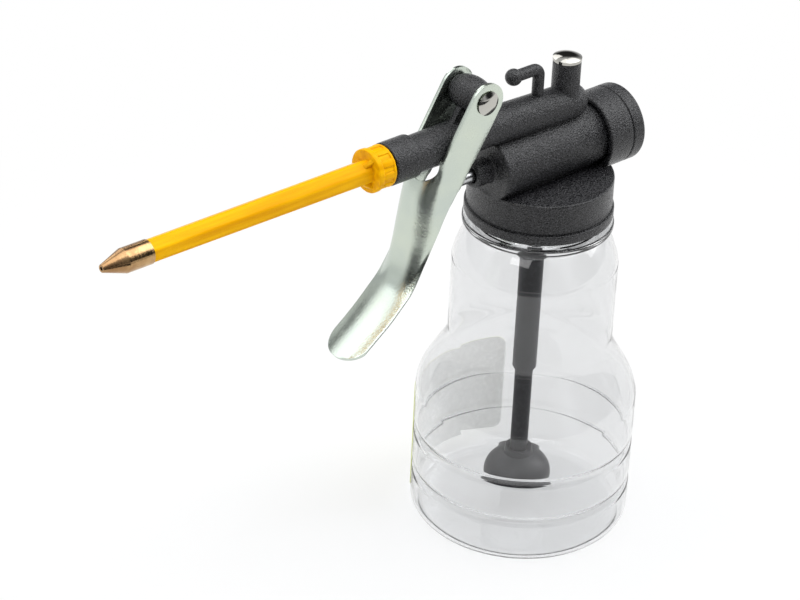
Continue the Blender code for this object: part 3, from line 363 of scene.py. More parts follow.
# %% Finish helpers
def finish(name, colour, roughness, metallic=0.0, **more):
    """A Principled material and the parts that its surface nodes need."""
    made = bpy.data.materials.new(name)
    made.use_nodes = True
    shader = made.node_tree.nodes["Principled BSDF"]
    values = {"Base Color": (*colour, 1), "Roughness": roughness, "Metallic": metallic, **more}
    for key, value in values.items():
        shader.inputs[key.replace("_", " ")].default_value = value
    return made, made.node_tree, shader


def use(tree, group, **values):
    return node(tree, "ShaderNodeGroup", node_tree=group, **values).outputs


def two_tone(tree, fac, low, high):
    """From one colour to another. The first may come from a node."""
    made = node(tree, "ShaderNodeMix", fac, data_type="RGBA")
    feed(tree, made.inputs[6], (*low, 1) if isinstance(low, tuple) else low)
    feed(tree, made.inputs[7], (*high, 1))
    return made.outputs[2]


def soft_normal(tree, radius):
    return node(tree, "ShaderNodeBevel", samples=6, Radius=radius * MM).outputs[0]


def dress(tree, shader, colour, roughness, height, depth, edge=0.0):
    """Wire a surface: colour, roughness, a height that is depth millimetres deep, and soft edges."""
    bump = node(tree, "ShaderNodeBump", Distance=depth * MM, Strength=1.0, Height=height)
    if edge:
        feed(tree, bump.inputs["Normal"], soft_normal(tree, edge))
    for key, value in (("Base Color", colour), ("Roughness", roughness), ("Normal", bump)):
        if value is not None:
            feed(tree, shader.inputs[key], value)


# %% Black moulded plastic
# Paler edge colour: partly wear, partly a painted edge highlight
EDGE_WEAR_AND_HIGHLIGHT = (0.075, 0.075, 0.080)


def black_moulding(name, base, light, roughness, scale, depth, edge=0.0, specular=0.5):
    """Black plastic with a grain. Its edges are a little paler, partly from wear and partly as a painted
    highlight.
    """
    made, tree, shader = finish(name, base, roughness, Specular_IOR_Level=specular)
    grain = use(tree, GRAIN, Scale=scale)
    speckle = grain["Speckle"]
    colour = two_tone(tree, speckle, base, light)
    if edge:
        flat = node(tree, "ShaderNodeNewGeometry").outputs["Normal"]
        facing = node(tree, "ShaderNodeVectorMath", soft_normal(tree, edge), flat, operation="DOT_PRODUCT")
        # Painted edge highlight and wear: edges turn paler where the soft normal leaves the flat one
        edge_wear_and_highlight = spread(tree, facing.outputs["Value"], 0.995, 0.90)
        colour = two_tone(tree, maths(tree, "MULTIPLY", edge_wear_and_highlight, speckle), colour, EDGE_WEAR_AND_HIGHLIGHT)
    dress(tree, shader, colour, spread(tree, speckle, 0.0, 1.0, roughness - 0.07, roughness + 0.08),
          grain["Height"], depth, edge)
    return made


BLACK = black_moulding("black_plastic", (0.002, 0.002, 0.003), (0.046, 0.046, 0.050), 0.29, 2200.0,
                       0.26, 0.30)
BLACK_TUBE = black_moulding("black_tube_plastic", (0.030, 0.029, 0.031), (0.044, 0.043, 0.046), 0.42,
                            700.0, 0.03, specular=0.3)
print("finish:", BLACK.name, BLACK_TUBE.name)


# %% Yellow moulded plastic
def yellow_moulding():
    """Yellow plastic, faintly streaked along the spout where it flowed into the mould."""
    made, tree, shader = finish("yellow_plastic", (0.80, 0.38, 0.001), 0.42, Specular_IOR_Level=0.05)
    where = on_object(tree)
    flow = noise(tree, node(tree, "ShaderNodeMapping", Vector=where, Scale=(0.06, 1, 1)), 520.0, 3.0)
    fine = maths(tree, "MULTIPLY", noise(tree, where, 2200.0, 2.0), 0.35)
    colour = two_tone(tree, spread(tree, flow, 0.35, 0.65), (0.72, 0.325, 0.001), (0.86, 0.45, 0.002))
    dress(tree, shader, colour, spread(tree, flow, 0.3, 0.7, 0.28, 0.40), maths(tree, "ADD", flow, fine),
          0.12, 0.3)
    return made


YELLOW = yellow_moulding()
print("finish:", YELLOW.name)


# %% Zinc, bright plate, steel and brass
def plated(name, low, high, rough, cloud, pepper, depth, rings=None):
    """Clouded metal. Its height is the plating's pepper, or rings at this spacing if it was turned."""
    made, tree, shader = finish(name, high, sum(rough) / 2, 1.0)
    plate = use(tree, PLATING, Cloud_Scale=cloud, Pepper_Scale=pepper)
    height = use(tree, RINGS, Spacing=rings)["Rings"] if rings else plate["Pepper"]
    dress(tree, shader, two_tone(tree, plate["Cloud"], low, high),
          spread(tree, plate["Cloud"], 0.0, 1.0, *rough), height, depth)
    return made


ZINC = plated("zinc_plate", (0.55, 0.61, 0.56), (0.64, 0.70, 0.605), (0.17, 0.28), 70.0, 1700.0, 0.05)
BRIGHT = plated("bright_plate", (0.42, 0.41, 0.38), (0.54, 0.53, 0.49), (0.04, 0.12), 70.0, 500.0, 0.02)
STEEL = plated("steel", (0.50, 0.51, 0.52), (0.62, 0.63, 0.64), (0.20, 0.30), 70.0, 2500.0, 0.01)
BRASS = plated("brass", (0.34, 0.19, 0.09), (0.56, 0.37, 0.18), (0.20, 0.10), 160.0, 2500.0, 0.03, 7000.0)
print("finish:", ZINC.name, BRIGHT.name, STEEL.name, BRASS.name)


# %% Clear bottle
def clear_wall():
    """Clear blown plastic. Lamp light passes it without being caught, so what is inside stays lit."""
    made, tree, shader = finish("clear_plastic", (0.880, 0.884, 0.888), 0.0, IOR=1.46,
                                Transmission_Weight=1.0, Specular_IOR_Level=0.35)
    where = on_object(tree)
    ripple = maths(tree, "MULTIPLY", noise(tree, where, 200.0, 0.0), 0.08)
    dress(tree, shader, None, None, maths(tree, "ADD", noise(tree, where, 45.0, 1.0), ripple), 0.14)
    path = node(tree, "ShaderNodeLightPath").outputs
    either = maths(tree, "MAXIMUM", path["Is Shadow Ray"], path["Is Diffuse Ray"])
    through = node(tree, "ShaderNodeBsdfTransparent", (0.96, 0.965, 0.97, 1))
    feed(tree, tree.nodes["Material Output"].inputs["Surface"],
         node(tree, "ShaderNodeMixShader", either, shader, through))
    return made


CLEAR = clear_wall()
print("finish:", CLEAR.name)


# %% Paper, rubber, white plastic and strainer
def speckled(name, low, high, roughness, scale, depth, metallic=0.0):
    made, tree, shader = finish(name, high, roughness, metallic)
    grain = use(tree, GRAIN, Scale=scale)
    dress(tree, shader, two_tone(tree, grain["Speckle"], low, high),
          spread(tree, grain["Speckle"], 0.0, 1.0, roughness - 0.06, roughness + 0.06),
          grain["Height"], depth)
    return made


LABEL_FACE = speckled("label_face", (0.62, 0.66, 0.22), (0.68, 0.71, 0.27), 0.45, 900.0, 0.01)
LABEL_BACK = speckled("label_back", (0.80, 0.79, 0.76), (0.92, 0.91, 0.88), 0.62, 700.0, 0.02)
# Painted glow: the back of the paper glows a little, in place of daylight that comes through it from outside
label_shader = LABEL_BACK.node_tree.nodes["Principled BSDF"]
label_shader.inputs["Emission Color"].default_value = (1.0, 0.985, 0.955, 1)
label_shader.inputs["Emission Strength"].default_value = 0.26
RUBBER = speckled("rubber", (0.010, 0.010, 0.010), (0.020, 0.020, 0.021), 0.72, 1200.0, 0.03)
WHITE = speckled("white_plastic", (0.74, 0.74, 0.71), (0.82, 0.82, 0.79), 0.40, 900.0, 0.02)
STRAINER = speckled("strainer", (0.38, 0.38, 0.39), (0.56, 0.56, 0.57), 0.38, 2600.0, 0.02, 1.0)
print("finish:", LABEL_FACE.name, LABEL_BACK.name, RUBBER.name, WHITE.name, STRAINER.name)

# %% [markdown]
# ## Making turned pieces
# Most pieces of this can are turned: bottle, caps, barrel, tubes, rivet and nozzle. One helper turns an
# outline of radius and height round its axis. Another rounds the corners of an outline first, because
# no moulded or machined edge is sharp, and a small radius is what catches the light. What isn't turned
# is mostly a loft, a skin over a row of sections, and a turned piece is a loft of circles too.


# %% Round the corners of an outline
def softened(outline, radius, steps=3, closed=False):
    """Each corner becomes a small curve, never longer than 0.45 of the sides that meet there."""
    made = []
    count = len(outline)
    for i, at in enumerate(outline):
        at = Vector(at)
        if not closed and i in (0, count - 1):
            made.append(tuple(at))
            continue
        before = Vector(outline[i - 1]) - at
        after = Vector(outline[(i + 1) % count]) - at
        a = at + before.normalized() * min(radius, 0.45 * before.length)
        b = at + after.normalized() * min(radius, 0.45 * after.length)
        for t in [k / steps for k in range(steps + 1)]:
            made.append(tuple(a * (1 - t) ** 2 + at * (2 * t * (1 - t)) + b * t ** 2))
    return made


# %% Keep straight runs flat
HOLD = 0.15


def held(outline, closed):
    """Adds a point near each end of a long run, so that smooth shading stays within the corners."""
    made = []
    for start, end in zip(outline, outline[1:] + outline[:1] if closed else outline[1:]):
        a, b = Vector(start), Vector(end)
        made.append(start)
        length = (b - a).length
        if length > 5 * HOLD:
            made += [tuple(a + (b - a) * (HOLD / length)), tuple(b + (a - b) * (HOLD / length))]
    return made if closed else made + [outline[-1]]


# %% Arcs and circles
def arc(radius, start_deg, end_deg, steps, centre=(0, 0)):
    angles = [math.radians(start_deg + (end_deg - start_deg) * i / steps) for i in range(steps + 1)]
    return [(centre[0] + radius * math.cos(a), centre[1] + radius * math.sin(a)) for a in angles]


def circle(radius, count):
    return arc(radius, 0, 360, count)[:-1]


# %% Skin a row of sections
def as_object(name, build, sharp_deg=38):
    mesh = bpy.data.meshes.new(name)
    build.to_mesh(mesh)
    build.free()
    mesh.shade_smooth()
    mesh.set_sharp_from_angle(angle=math.radians(sharp_deg))
    return linked(name, mesh)


def loft(name, sections, ends="capped", sharp_deg=38, edge=0.0):
    """Skin sections of points. Its ends are capped, or meet, or the whole is an open sheet."""
    build = bmesh.new()
    rings = [[build.verts.new(Vector(at) * MM) for at in section] for section in sections]
    if ends == "meet":
        rings.append(rings[0])
    for a, b in zip(rings, rings[1:]):
        count = max(len(a), len(b))
        for k in range(count - 1 if ends == "sheet" else count):
            m = (k + 1) % count
            corners = [a[k % len(a)], a[m % len(a)], b[m % len(b)], b[k % len(b)]]
            corners = list(dict.fromkeys(corners))
            if len(corners) > 2:
                build.faces.new(corners)
    if ends == "capped":
        for ring in (rings[0], rings[-1]):
            if len(ring) > 2:
                build.faces.new(ring)
    if ends != "sheet":
        bmesh.ops.recalc_face_normals(build, faces=build.faces)
    if edge:
        bmesh.ops.bevel(build, geom=list(build.edges), offset=edge * MM, segments=3, affect="EDGES",
                        profile=0.5, clamp_overlap=True)
    return as_object(name, build, sharp_deg)


# %% Turn an outline
ON_AXIS = 1e-4
TURNED = {"Z": Matrix(), "X": Matrix.Rotation(math.pi / 2, 4, "Y"),
          "Y": Matrix.Rotation(-math.pi / 2, 4, "X")}


def spun(name, outline, along="Z", centre=(0, 0, 0), segments=96, sharp_deg=38):
    """Turn (radius, height) points round an axis. An outline that doesn't end on the axis is a ring."""
    hollow = outline[0][0] > ON_AXIS and outline[-1][0] > ON_AXIS
    sections = []
    for radius, height in held(outline, hollow):
        around = circle(radius, segments) if radius > ON_AXIS else [(0, 0)]
        sections.append([(x, y, height) for x, y in around])
    made = loft(name, sections, "meet" if hollow else "capped", sharp_deg)
    made.data.transform(Matrix.Translation(Vector(centre) * MM) @ TURNED[along])
    return made


# %% Modifiers
def add_step(piece, kind, **values):
    step = piece.modifiers.new(kind.lower(), kind)
    for key, value in values.items():
        setattr(step, key, value)


def settled(piece):
    """Apply a piece's modifiers, so that its mesh is what is seen."""
    mesh = bpy.data.meshes.new_from_object(piece.evaluated_get(bpy.context.evaluated_depsgraph_get()))
    piece.modifiers.clear()
    piece.data = mesh
    return piece


def cut(piece, *tools):
    """Cut a piece with tools, each with its operation, and take the tools away."""
    for tool, operation in tools:
        add_step(piece, "BOOLEAN", object=tool, operation=operation, solver="EXACT")
    settled(piece)
    for tool, _ in tools:
        bpy.data.objects.remove(tool)
    return piece


# %% Merge forms, and hand a piece over to its body
handed = []


def merged(name, *pieces):
    """Several meshes as one object, each closed in itself."""
    build = bmesh.new()
    for piece in pieces:
        build.from_mesh(piece.data)
        bpy.data.objects.remove(piece)
    return as_object(name, build)


def hand_over(piece, body, slot, material, *nodes):
    """The piece takes its finish, rides on the body and stands for the solids."""
    if material is not None:
        piece.data.materials.clear()
        piece.data.materials.append(material)
    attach(piece, body)
    if nodes:
        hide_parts(*nodes)
    handed.append(piece.name)
    faces = sum(len(face.vertices) - 2 for face in piece.data.polygons)
    print("piece:", piece.name, "on", body, "with", faces, "triangles")


# %% [markdown]
# ## Bottle
# The bottle is blown from clear plastic: a wide body with two ring grooves, a waist for the hand, a
# round shoulder, and a threaded neck with a support ring. The outside is one outline of rules: a quarter
# circle at the heel, cosine dips for the grooves, an S curve up to the waist and a rounded shoulder. The
# inside is that outline moved in by the wall, square to the surface, so refraction bends light the way
# a real wall does.

# %% Bottle sizes
BODY_R = 36.0
WALL = 1.0
BASE_T = 1.8
PUNT_H = 0.9
HEEL_R = 5.5
BODY_TOP_Z = 46.0
WAIST_R = 26.7
WAIST_Z = 69.0
SHOULDER_Z = 95.5
SHOULDER_POWER = 1.35
NECK_R = 20.5
NECK_Z = 108.0
LIP_Z = 118.2
GROOVES_Z = (16.3, 31.1)
GROOVE_WIDE = 4.6
GROOVE_DEEP = 0.75
RING_R = 24.2
RING_Z = 108.8
RING_H = 2.0


# %% Bottle outline
def bottle_radius(z):
    """Radius of the outside at a height between the heel and the neck."""
    if z <= BODY_TOP_Z:
        dip = sum(math.cos(math.pi * (z - g) / GROOVE_WIDE) ** 2 for g in GROOVES_Z
                  if abs(z - g) < GROOVE_WIDE / 2)
        return BODY_R - GROOVE_DEEP * dip
    if z <= WAIST_Z:
        t = (z - BODY_TOP_Z) / (WAIST_Z - BODY_TOP_Z)
        return BODY_R + (WAIST_R - BODY_R) * t * t * (3 - 2 * t)
    if z <= SHOULDER_Z:
        return WAIST_R
    t = min(1.0, (z - SHOULDER_Z) / (NECK_Z - SHOULDER_Z))
    return NECK_R + (WAIST_R - NECK_R) * max(0.0, 1 - t ** SHOULDER_POWER) ** (1 / SHOULDER_POWER)


def bottle_outside():
    """The raised middle of the base, and then the heel and the side."""
    punt_r = BODY_R - HEEL_R - 3
    base = [(punt_r * i / 10, PUNT_H * (1 + math.cos(math.pi * i / 10)) / 2) for i in range(11)]
    heel = arc(HEEL_R, -90, 0, 14, (BODY_R - HEEL_R, HEEL_R))
    heights = [HEEL_R + (NECK_Z - HEEL_R) * i / 180 for i in range(1, 181)]
    return base, heel + [(bottle_radius(z), z) for z in heights]


def moved_in(outline, wall):
    """The outline moved square to itself, toward the axis."""
    made = []
    for i, at in enumerate(outline):
        run = Vector(outline[min(i + 1, len(outline) - 1)]) - Vector(outline[max(i - 1, 0)])
        run.normalize()
        made.append((at[0] - run.y * wall, at[1] + run.x * wall))
    return made


def make_bottle():
    base, side = bottle_outside()
    inside = [(r, z) for r, z in moved_in(side, WALL) if z > BASE_T]
    floor_line = [(r * 0.98, z + BASE_T) for r, z in base if r < inside[0][0] - 1]
    ring = softened([(NECK_R, RING_Z - 0.4), (RING_R, RING_Z), (RING_R, RING_Z + RING_H),
                     (NECK_R, RING_Z + RING_H + 0.2), (NECK_R, LIP_Z), (NECK_R - WALL, LIP_Z),
                     (NECK_R - WALL, NECK_Z + 1)], 0.8, 6)
    outline = base + side + ring + inside[::-1] + floor_line[::-1]
    return spun("bottle_wall", outline, segments=160, sharp_deg=60)


hand_over(make_bottle(), "bottle", "clear_plastic", CLEAR, "bottle")

# %% [markdown]
# ## Coils
# The neck's thread and both springs are the same shape at different sizes: a round wire that climbs
# round an axis. One Geometry Nodes tree makes all three from a spiral and a circle. The wire grows thin
# at its ends for the thread, as a moulded thread runs out, and stays full for a spring.


# %% Coil tree
def painted(tree, shape, finish_socket, out):
    """A tree's last steps: smooth shading, then copies become real and take their finish."""
    smooth = node(tree, "GeometryNodeSetShadeSmooth", shape)
    real = node(tree, "GeometryNodeRealizeInstances", smooth)
    feed(tree, out, node(tree, "GeometryNodeSetMaterial", Geometry=real, Material=finish_socket))


def coil_tree():
    tree, come, go = shared("wire_coil", "GeometryNodeTree", ("Geometry",), Wire_Radius=0.5 * MM,
                            Coil_Radius=5 * MM, Length=20 * MM, Turns=5.0, Run_Out=0.0, Finish=None)
    spiral = node(tree, "GeometryNodeCurveSpiral", Resolution=48, Rotations=come["Turns"],
                  Start_Radius=come["Coil Radius"], End_Radius=come["Coil Radius"], Height=come["Length"])
    along = node(tree, "GeometryNodeSplineParameter").outputs["Factor"]
    taper = spread(tree, maths(tree, "PINGPONG", along, 0.5), 0.0, 0.06)
    thin = maths(tree, "MAXIMUM", maths(tree, "SUBTRACT", 1.0, come["Run Out"]), taper)
    curve = node(tree, "GeometryNodeSetCurveRadius", Curve=spiral, Radius=thin)
    ring = node(tree, "GeometryNodeCurvePrimitiveCircle", Resolution=10, Radius=come["Wire Radius"])
    sweep = node(tree, "GeometryNodeCurveToMesh", Curve=curve, Profile_Curve=ring, Fill_Caps=True)
    painted(tree, sweep, come["Finish"], go["Geometry"])
    return tree


COIL = coil_tree()
print("tree:", COIL.name)


# %% Bake a tree into a plain mesh
def baked(name, tree, matrix, **values):
    """Give a tree its sizes, evaluate it once, and keep the result as a mesh in its place."""
    holder = linked(name + "_maker", bpy.data.meshes.new(name + "_maker"))
    step = holder.modifiers.new("made", "NODES")
    step.node_group = tree
    sockets = {item.name: item.identifier for item in tree.interface.items_tree if item.in_out == "INPUT"}
    for key, value in values.items():
        step[sockets[key.replace("_", " ")]] = value
    mesh = settled(holder).data
    bpy.data.objects.remove(holder)
    mesh.name = name
    mesh.transform(matrix)
    return linked(name, mesh)


# %% Neck thread
thread = baked("neck_thread", COIL, Matrix.Translation((0, 0, 113.9 * MM)), Wire_Radius=0.5 * MM,
               Coil_Radius=NECK_R * MM, Length=3.2 * MM, Turns=1.6, Run_Out=1.0, Finish=CLEAR)
hand_over(thread, "bottle", "clear_plastic", None)

# %% [markdown]
# ## Label
# A plain sticker goes round part of the body. It is a thin curved sheet with round corners. Solidify
# gives it thickness, and its second material is for the side that shows through the bottle.

# %% Make the label
LABEL_R = BODY_R + 0.10
LABEL_Z = (6.5, 43.5)
LABEL_MID = 101.5
LABEL_SPAN = 86.0
LABEL_CORNER = 3.5
LABEL_T = 0.12


def make_label():
    rows = []
    for t in [i / 48 for i in range(49)]:
        z = LABEL_Z[0] + (LABEL_Z[1] - LABEL_Z[0]) * (t * t * (3 - 2 * t))
        short = max(0.0, LABEL_CORNER - min(z - LABEL_Z[0], LABEL_Z[1] - z))
        trim = LABEL_CORNER - math.sqrt(max(0.0, LABEL_CORNER ** 2 - short ** 2))
        half = LABEL_SPAN / 2 - math.degrees(trim / LABEL_R)
        rows.append([(x, y, z) for x, y in arc(LABEL_R, LABEL_MID - half, LABEL_MID + half, 60)])
    label = loft("label_sheet", rows, "sheet")
    label.data.materials.append(LABEL_FACE)
    label.data.materials.append(LABEL_BACK)
    add_step(label, "SOLIDIFY", thickness=LABEL_T * MM, offset=1.0, material_offset=1, material_offset_rim=0)
    return settled(label)


hand_over(make_label(), "bottle", "label_paper", None, "label")

# %% [markdown]
# ## Pump head
# The head is one black moulding: the screw cap, the pump barrel that lies across it, the gallery that
# leans up to the outlet tube, the valve tower, the boss between the trigger's ears, the hook and the
# socket for the suction tube. A moulder would call these forms, and each is turned or swept by itself
# here, with its own bore, and then they stand in one mesh. That keeps every round surface clean, which a
# chain of Booleans wouldn't. The shader's small edge radius blends the lines where forms meet.

# %% Pump head sizes
CAP_TOP_Z = 126.5
CAP_DROP = 13.6
CAP_R = 23.2
CAP_IN_R = 21.3
FLANGE_R = 23.8
FLANGE_H = 3.2
LINE_WIDE = 0.5
LINE_DEEP = 0.4
ROOF_T = 6.5
BARREL_Z = CAP_TOP_Z + 8.1
BARREL_R = 10.2
BARREL_X = (-23.0, 27.5)
ON_BARREL = (0, 0, BARREL_Z)
BORE_R = 8.0
BORE_X = BARREL_X[0] + 2.5
SEAL_R = 3.7
NOSE_R = 4.2
NOSE_X = -30.0
END_CAP_X = 18.0
END_CAP_R = 12.6
OUTLET_Z = CAP_TOP_Z + 23.3
ON_OUTLET = (0, 0, OUTLET_Z)
ROD_R = 2.1
SLIP = 0.3


# %% Screw cap
def make_cap_form():
    low = CAP_TOP_Z - CAP_DROP
    groove = low + FLANGE_H
    roof = CAP_TOP_Z - ROOF_T
    outline = [(0, CAP_TOP_Z), (CAP_R, CAP_TOP_Z), (CAP_R, groove + LINE_WIDE),
               (CAP_R - LINE_DEEP, groove + LINE_WIDE), (CAP_R - LINE_DEEP, groove), (FLANGE_R, groove),
               (FLANGE_R, low), (CAP_IN_R, low), (CAP_IN_R, roof), (0, roof)]
    room_r, room_x = END_CAP_R + SLIP, END_CAP_X - SLIP
    room = spun("end_cap_room", [(0, room_x), (room_r, room_x), (room_r, 26), (0, 26)], "X", ON_BARREL)
    return cut(spun("cap_form", softened(outline, 0.5), segments=144), (room, "DIFFERENCE"))


# %% Barrel with its nose
def make_barrel_form():
    front, rear = BARREL_X
    outside = [(BORE_R, rear), (BARREL_R, rear), (BARREL_R, front), (NOSE_R, front), (NOSE_R, NOSE_X),
               (ROD_R + SLIP, NOSE_X)]
    inside = [(ROD_R + SLIP, front + 0.5), (SEAL_R, front + 0.5), (SEAL_R, BORE_X), (BORE_R, BORE_X)]
    return spun("barrel_form", softened(outside + inside, 1.0, 5, closed=True), "X", ON_BARREL)


# %% Gallery, outlet tube and tower
GALLERY_REAR = Vector((10.0, 0, CAP_TOP_Z + 22.0))
GALLERY_FRONT = Vector((-28.0, 0, OUTLET_Z))
GALLERY_R = 5.8
TUBE_R = (6.2, 5.9)
SLEEVE_R = 6.8
SLEEVE_X = (-55.5, -65.2)
OUTLET_BORE_R = 1.8
OUTLET_NECK_R = 4.7
OUTLET_NECK_X = -70.0
TOWER_X = 7.8
TOWER_R = 4.5
TOWER_FOOT_R = 5.4
TOWER_FOOT_Z = CAP_TOP_Z + 22.0
TOWER_FLARE_Z = CAP_TOP_Z + 27.0
TOWER_TOP_Z = CAP_TOP_Z + 36.9
VALVE_BORE_R = 2.7


def make_gallery_form():
    run = GALLERY_FRONT - GALLERY_REAR
    outline = [(0, run.length), (TUBE_R[0] - 0.2, run.length)] + arc(GALLERY_R, 0, -90, 12)
    gallery = spun("gallery_form", outline)
    lean = run.to_track_quat("Z", "Y").to_matrix().to_4x4()
    gallery.data.transform(Matrix.Translation(GALLERY_REAR * MM) @ lean)
    return gallery


def make_outlet_form():
    root = GALLERY_FRONT.x + 4
    outline = [(OUTLET_BORE_R, root), (TUBE_R[0], root), (TUBE_R[1], SLEEVE_X[0]), (SLEEVE_R, SLEEVE_X[0]),
               (SLEEVE_R, SLEEVE_X[1]), (OUTLET_NECK_R, SLEEVE_X[1]), (OUTLET_NECK_R, OUTLET_NECK_X),
               (OUTLET_BORE_R, OUTLET_NECK_X)]
    return spun("outlet_form", softened(outline, 0.4, closed=True), "X", ON_OUTLET)


def make_tower_form():
    outline = [(VALVE_BORE_R, TOWER_TOP_Z), (TOWER_R, TOWER_TOP_Z), (TOWER_R, TOWER_FLARE_Z),
               (TOWER_FOOT_R, TOWER_FOOT_Z), (VALVE_BORE_R, TOWER_FOOT_Z)]
    return spun("tower_form", softened(outline, 0.35, closed=True), centre=(TOWER_X, 0, 0))


# %% Pivot boss, its rib, and the hook
PIVOT = Vector((-31.6, 0, CAP_TOP_Z + 37.0))
EAR_IN_Y = 6.3
BOSS_R = 5.7
BOSS_SHOULDER_R = 4.7
BOSS_END_R = 4.2
BOSS_END_LONG = 0.9
RIVET_R = 2.1
RIB_X = {PIVOT.z: (-34.9, -28.5), OUTLET_Z: (-43.0, -21.5)}
HOOK_X = -4.0
HOOK_TOP_Z = CAP_TOP_Z + 37.5
HOOK_BEND_R = 2.4
HOOK_REACH = 10.5
HOOK_WIRE_R = 1.9
HOOK_BALL_R = 2.7


def make_boss_form():
    half = EAR_IN_Y - SLIP
    swell = half - BOSS_END_LONG
    belly = [(BOSS_R - (BOSS_R - BOSS_SHOULDER_R) * (y / swell) ** 2, y)
             for y in [swell * (1 - i / 8) for i in range(17)]]
    outline = [(RIVET_R + SLIP, half), (BOSS_END_R, half), (BOSS_END_R, swell)] + belly
    outline += [(BOSS_END_R, -swell), (BOSS_END_R, -half), (RIVET_R + SLIP, -half)]
    return spun("boss_form", outline, "Y", PIVOT)


def extruded(name, outline, half, edge):
    """An outline of (x, z) points with a thickness to both sides along Y, its edges slightly rounded."""
    return loft(name, [[(x, y, z) for x, z in outline] for y in (-half, half)], edge=edge)


def make_rib_form():
    (top_front, top_rear), (foot_front, foot_rear) = RIB_X[PIVOT.z], RIB_X[OUTLET_Z]
    outline = [(top_front, PIVOT.z), (foot_front, OUTLET_Z), (foot_rear, OUTLET_Z), (top_rear, PIVOT.z)]
    return extruded("rib_form", outline, 1.1, 0.3)


def swept(name, points, radius):
    """A round bar along points in the plane y = 0, with flat ends."""
    side = Vector((0, 1, 0))
    sections = []
    for i, at in enumerate(points):
        run = (points[min(i + 1, len(points) - 1)] - points[max(i - 1, 0)]).normalized()
        sections.append([at + c * side + s * run.cross(side) for c, s in circle(radius, 20)])
    return loft(name, sections)


def make_hook_forms():
    bend = arc(HOOK_BEND_R, 0, 90, 10, (HOOK_X - HOOK_BEND_R, HOOK_TOP_Z - HOOK_BEND_R))
    line = [(HOOK_X, OUTLET_Z)] + bend + [(HOOK_X - HOOK_REACH, HOOK_TOP_Z)]
    points = [Vector((x, 0, z)) for x, z in line]
    ball = spun("hook_ball_form", arc(HOOK_BALL_R, 90, -90, 20), centre=points[-1], segments=40)
    return swept("hook_form", points, HOOK_WIRE_R), ball


# %% Suction socket and the whole head
INLET_X = -1.3
UNDER_INLET = (INLET_X, 0, 0)
SOCKET_R = 4.4
SOCKET_Z = 96.5
SOCKET_BORE_R = 3.0
CAGE_R = 2.7
CAGE_TOP_Z = SOCKET_Z + 14.5
SUCTION_SEAT_Z = SOCKET_Z + 10.0
INLET_PORT_R = 1.0


def make_socket_form():
    top = CAP_TOP_Z - ROOF_T / 2
    outline = [(SOCKET_BORE_R, SOCKET_Z), (SOCKET_R, SOCKET_Z), (SOCKET_R, top), (INLET_PORT_R, top),
               (INLET_PORT_R, CAGE_TOP_Z), (CAGE_R, CAGE_TOP_Z), (CAGE_R, SUCTION_SEAT_Z),
               (SOCKET_BORE_R, SUCTION_SEAT_Z)]
    return spun("socket_form", softened(outline, 0.25, 2, closed=True), centre=UNDER_INLET, segments=48)


head = merged("pump_head_moulding", make_cap_form(), make_barrel_form(), make_gallery_form(),
              make_outlet_form(), make_tower_form(), make_boss_form(), make_rib_form(), *make_hook_forms(),
              make_socket_form())
hand_over(head, "head", "black_plastic", BLACK, "pump_head")

# %% [markdown]
# ## End cap
# The barrel is closed by its own screw cap, a cup with a fine line near its rear edge. It is one turned
# outline. It turns by itself, so it is its own piece.

# %% Make the end cap
END_LINE_WIDE = 0.4
END_LINE_DEEP = 0.45


def make_end_cap():
    inner = END_CAP_R - 1.9
    floor_x = BARREL_X[1] + 1.7
    back = floor_x + 3.2
    line = back - 5.0
    outline = [(0, back), (END_CAP_R, back), (END_CAP_R, line + END_LINE_WIDE),
               (END_CAP_R - END_LINE_DEEP, line + END_LINE_WIDE), (END_CAP_R - END_LINE_DEEP, line),
               (END_CAP_R, line), (END_CAP_R, END_CAP_X), (inner, END_CAP_X), (inner, floor_x), (0, floor_x)]
    return spun("barrel_end_cap", softened(outline, 0.8, 4), "X", ON_BARREL, 120)


hand_over(make_end_cap(), "end_cap", "black_plastic", BLACK, "end_cap")

# %% [markdown]
# ## Trigger
# The trigger is one piece of steel sheet, pressed and zinc plated: two flat ears that straddle the
# outlet tube, a slot between them with a round bottom, a channel with rounded corners under it, and a
# sweep that flattens toward the round tip. A die maker thinks of it as sections along a line, so the
# mesh is a loft of sections. A smooth curve is run through the stations first, so that the sheet bends
# without corners. Then the sheet gets its thickness, and the blank's outline, slot and holes are cut.

# %% Trigger stations
SHEET_T = 1.2
SHEET_EDGE = 0.16
EAR_R = 6.26
# How far below the rivet the ears' rear and front edges begin
EAR_EDGES = (4.0, 21.4)
TIP_R = 8.0
SLOT_BOTTOM_Z = CAP_TOP_Z + 14.2
# Reach and height of the front, half width, depth of the walls, corner radius, and how far it is opened
STATIONS = (
    (34.8, 49.9, 7.5, 15.9, 1.6, 0.0), (39.6, 41.8, 7.5, 15.7, 1.6, 0.0), (44.6, 33.1, 7.5, 15.5, 1.6, 0.0),
    (48.4, 23.7, 7.5, 14.0, 2.0, 0.0), (50.1, 18.4, 7.5, 12.4, 3.2, 0.0), (52.3, 14.3, 7.5, 11.7, 4.4, 0.0),
    (54.0, 9.3, 7.6, 10.7, 5.0, 0.0), (55.0, 3.8, 7.7, 8.7, 5.0, 0.0), (55.8, -1.9, 7.8, 6.8, 4.8, 0.0),
    (56.7, -8.1, 7.9, 4.4, 4.0, 0.2), (58.4, -14.4, 8.0, 2.6, 2.6, 0.6), (60.8, -19.1, 8.1, 1.9, 1.9, 0.9),
    (63.8, -22.6, 8.1, 1.5, 1.5, 1.0), (68.0, -26.7, 8.1, 1.4, 1.4, 1.0), (72.6, -30.4, 8.0, 1.4, 1.4, 1.0),
    (77.2, -33.9, 8.0, 1.4, 1.4, 1.0), (82.7, -38.2, 8.0, 1.4, 1.4, 1.0),
)
FINER = 5
SLOT_REACH = STATIONS[5][0]


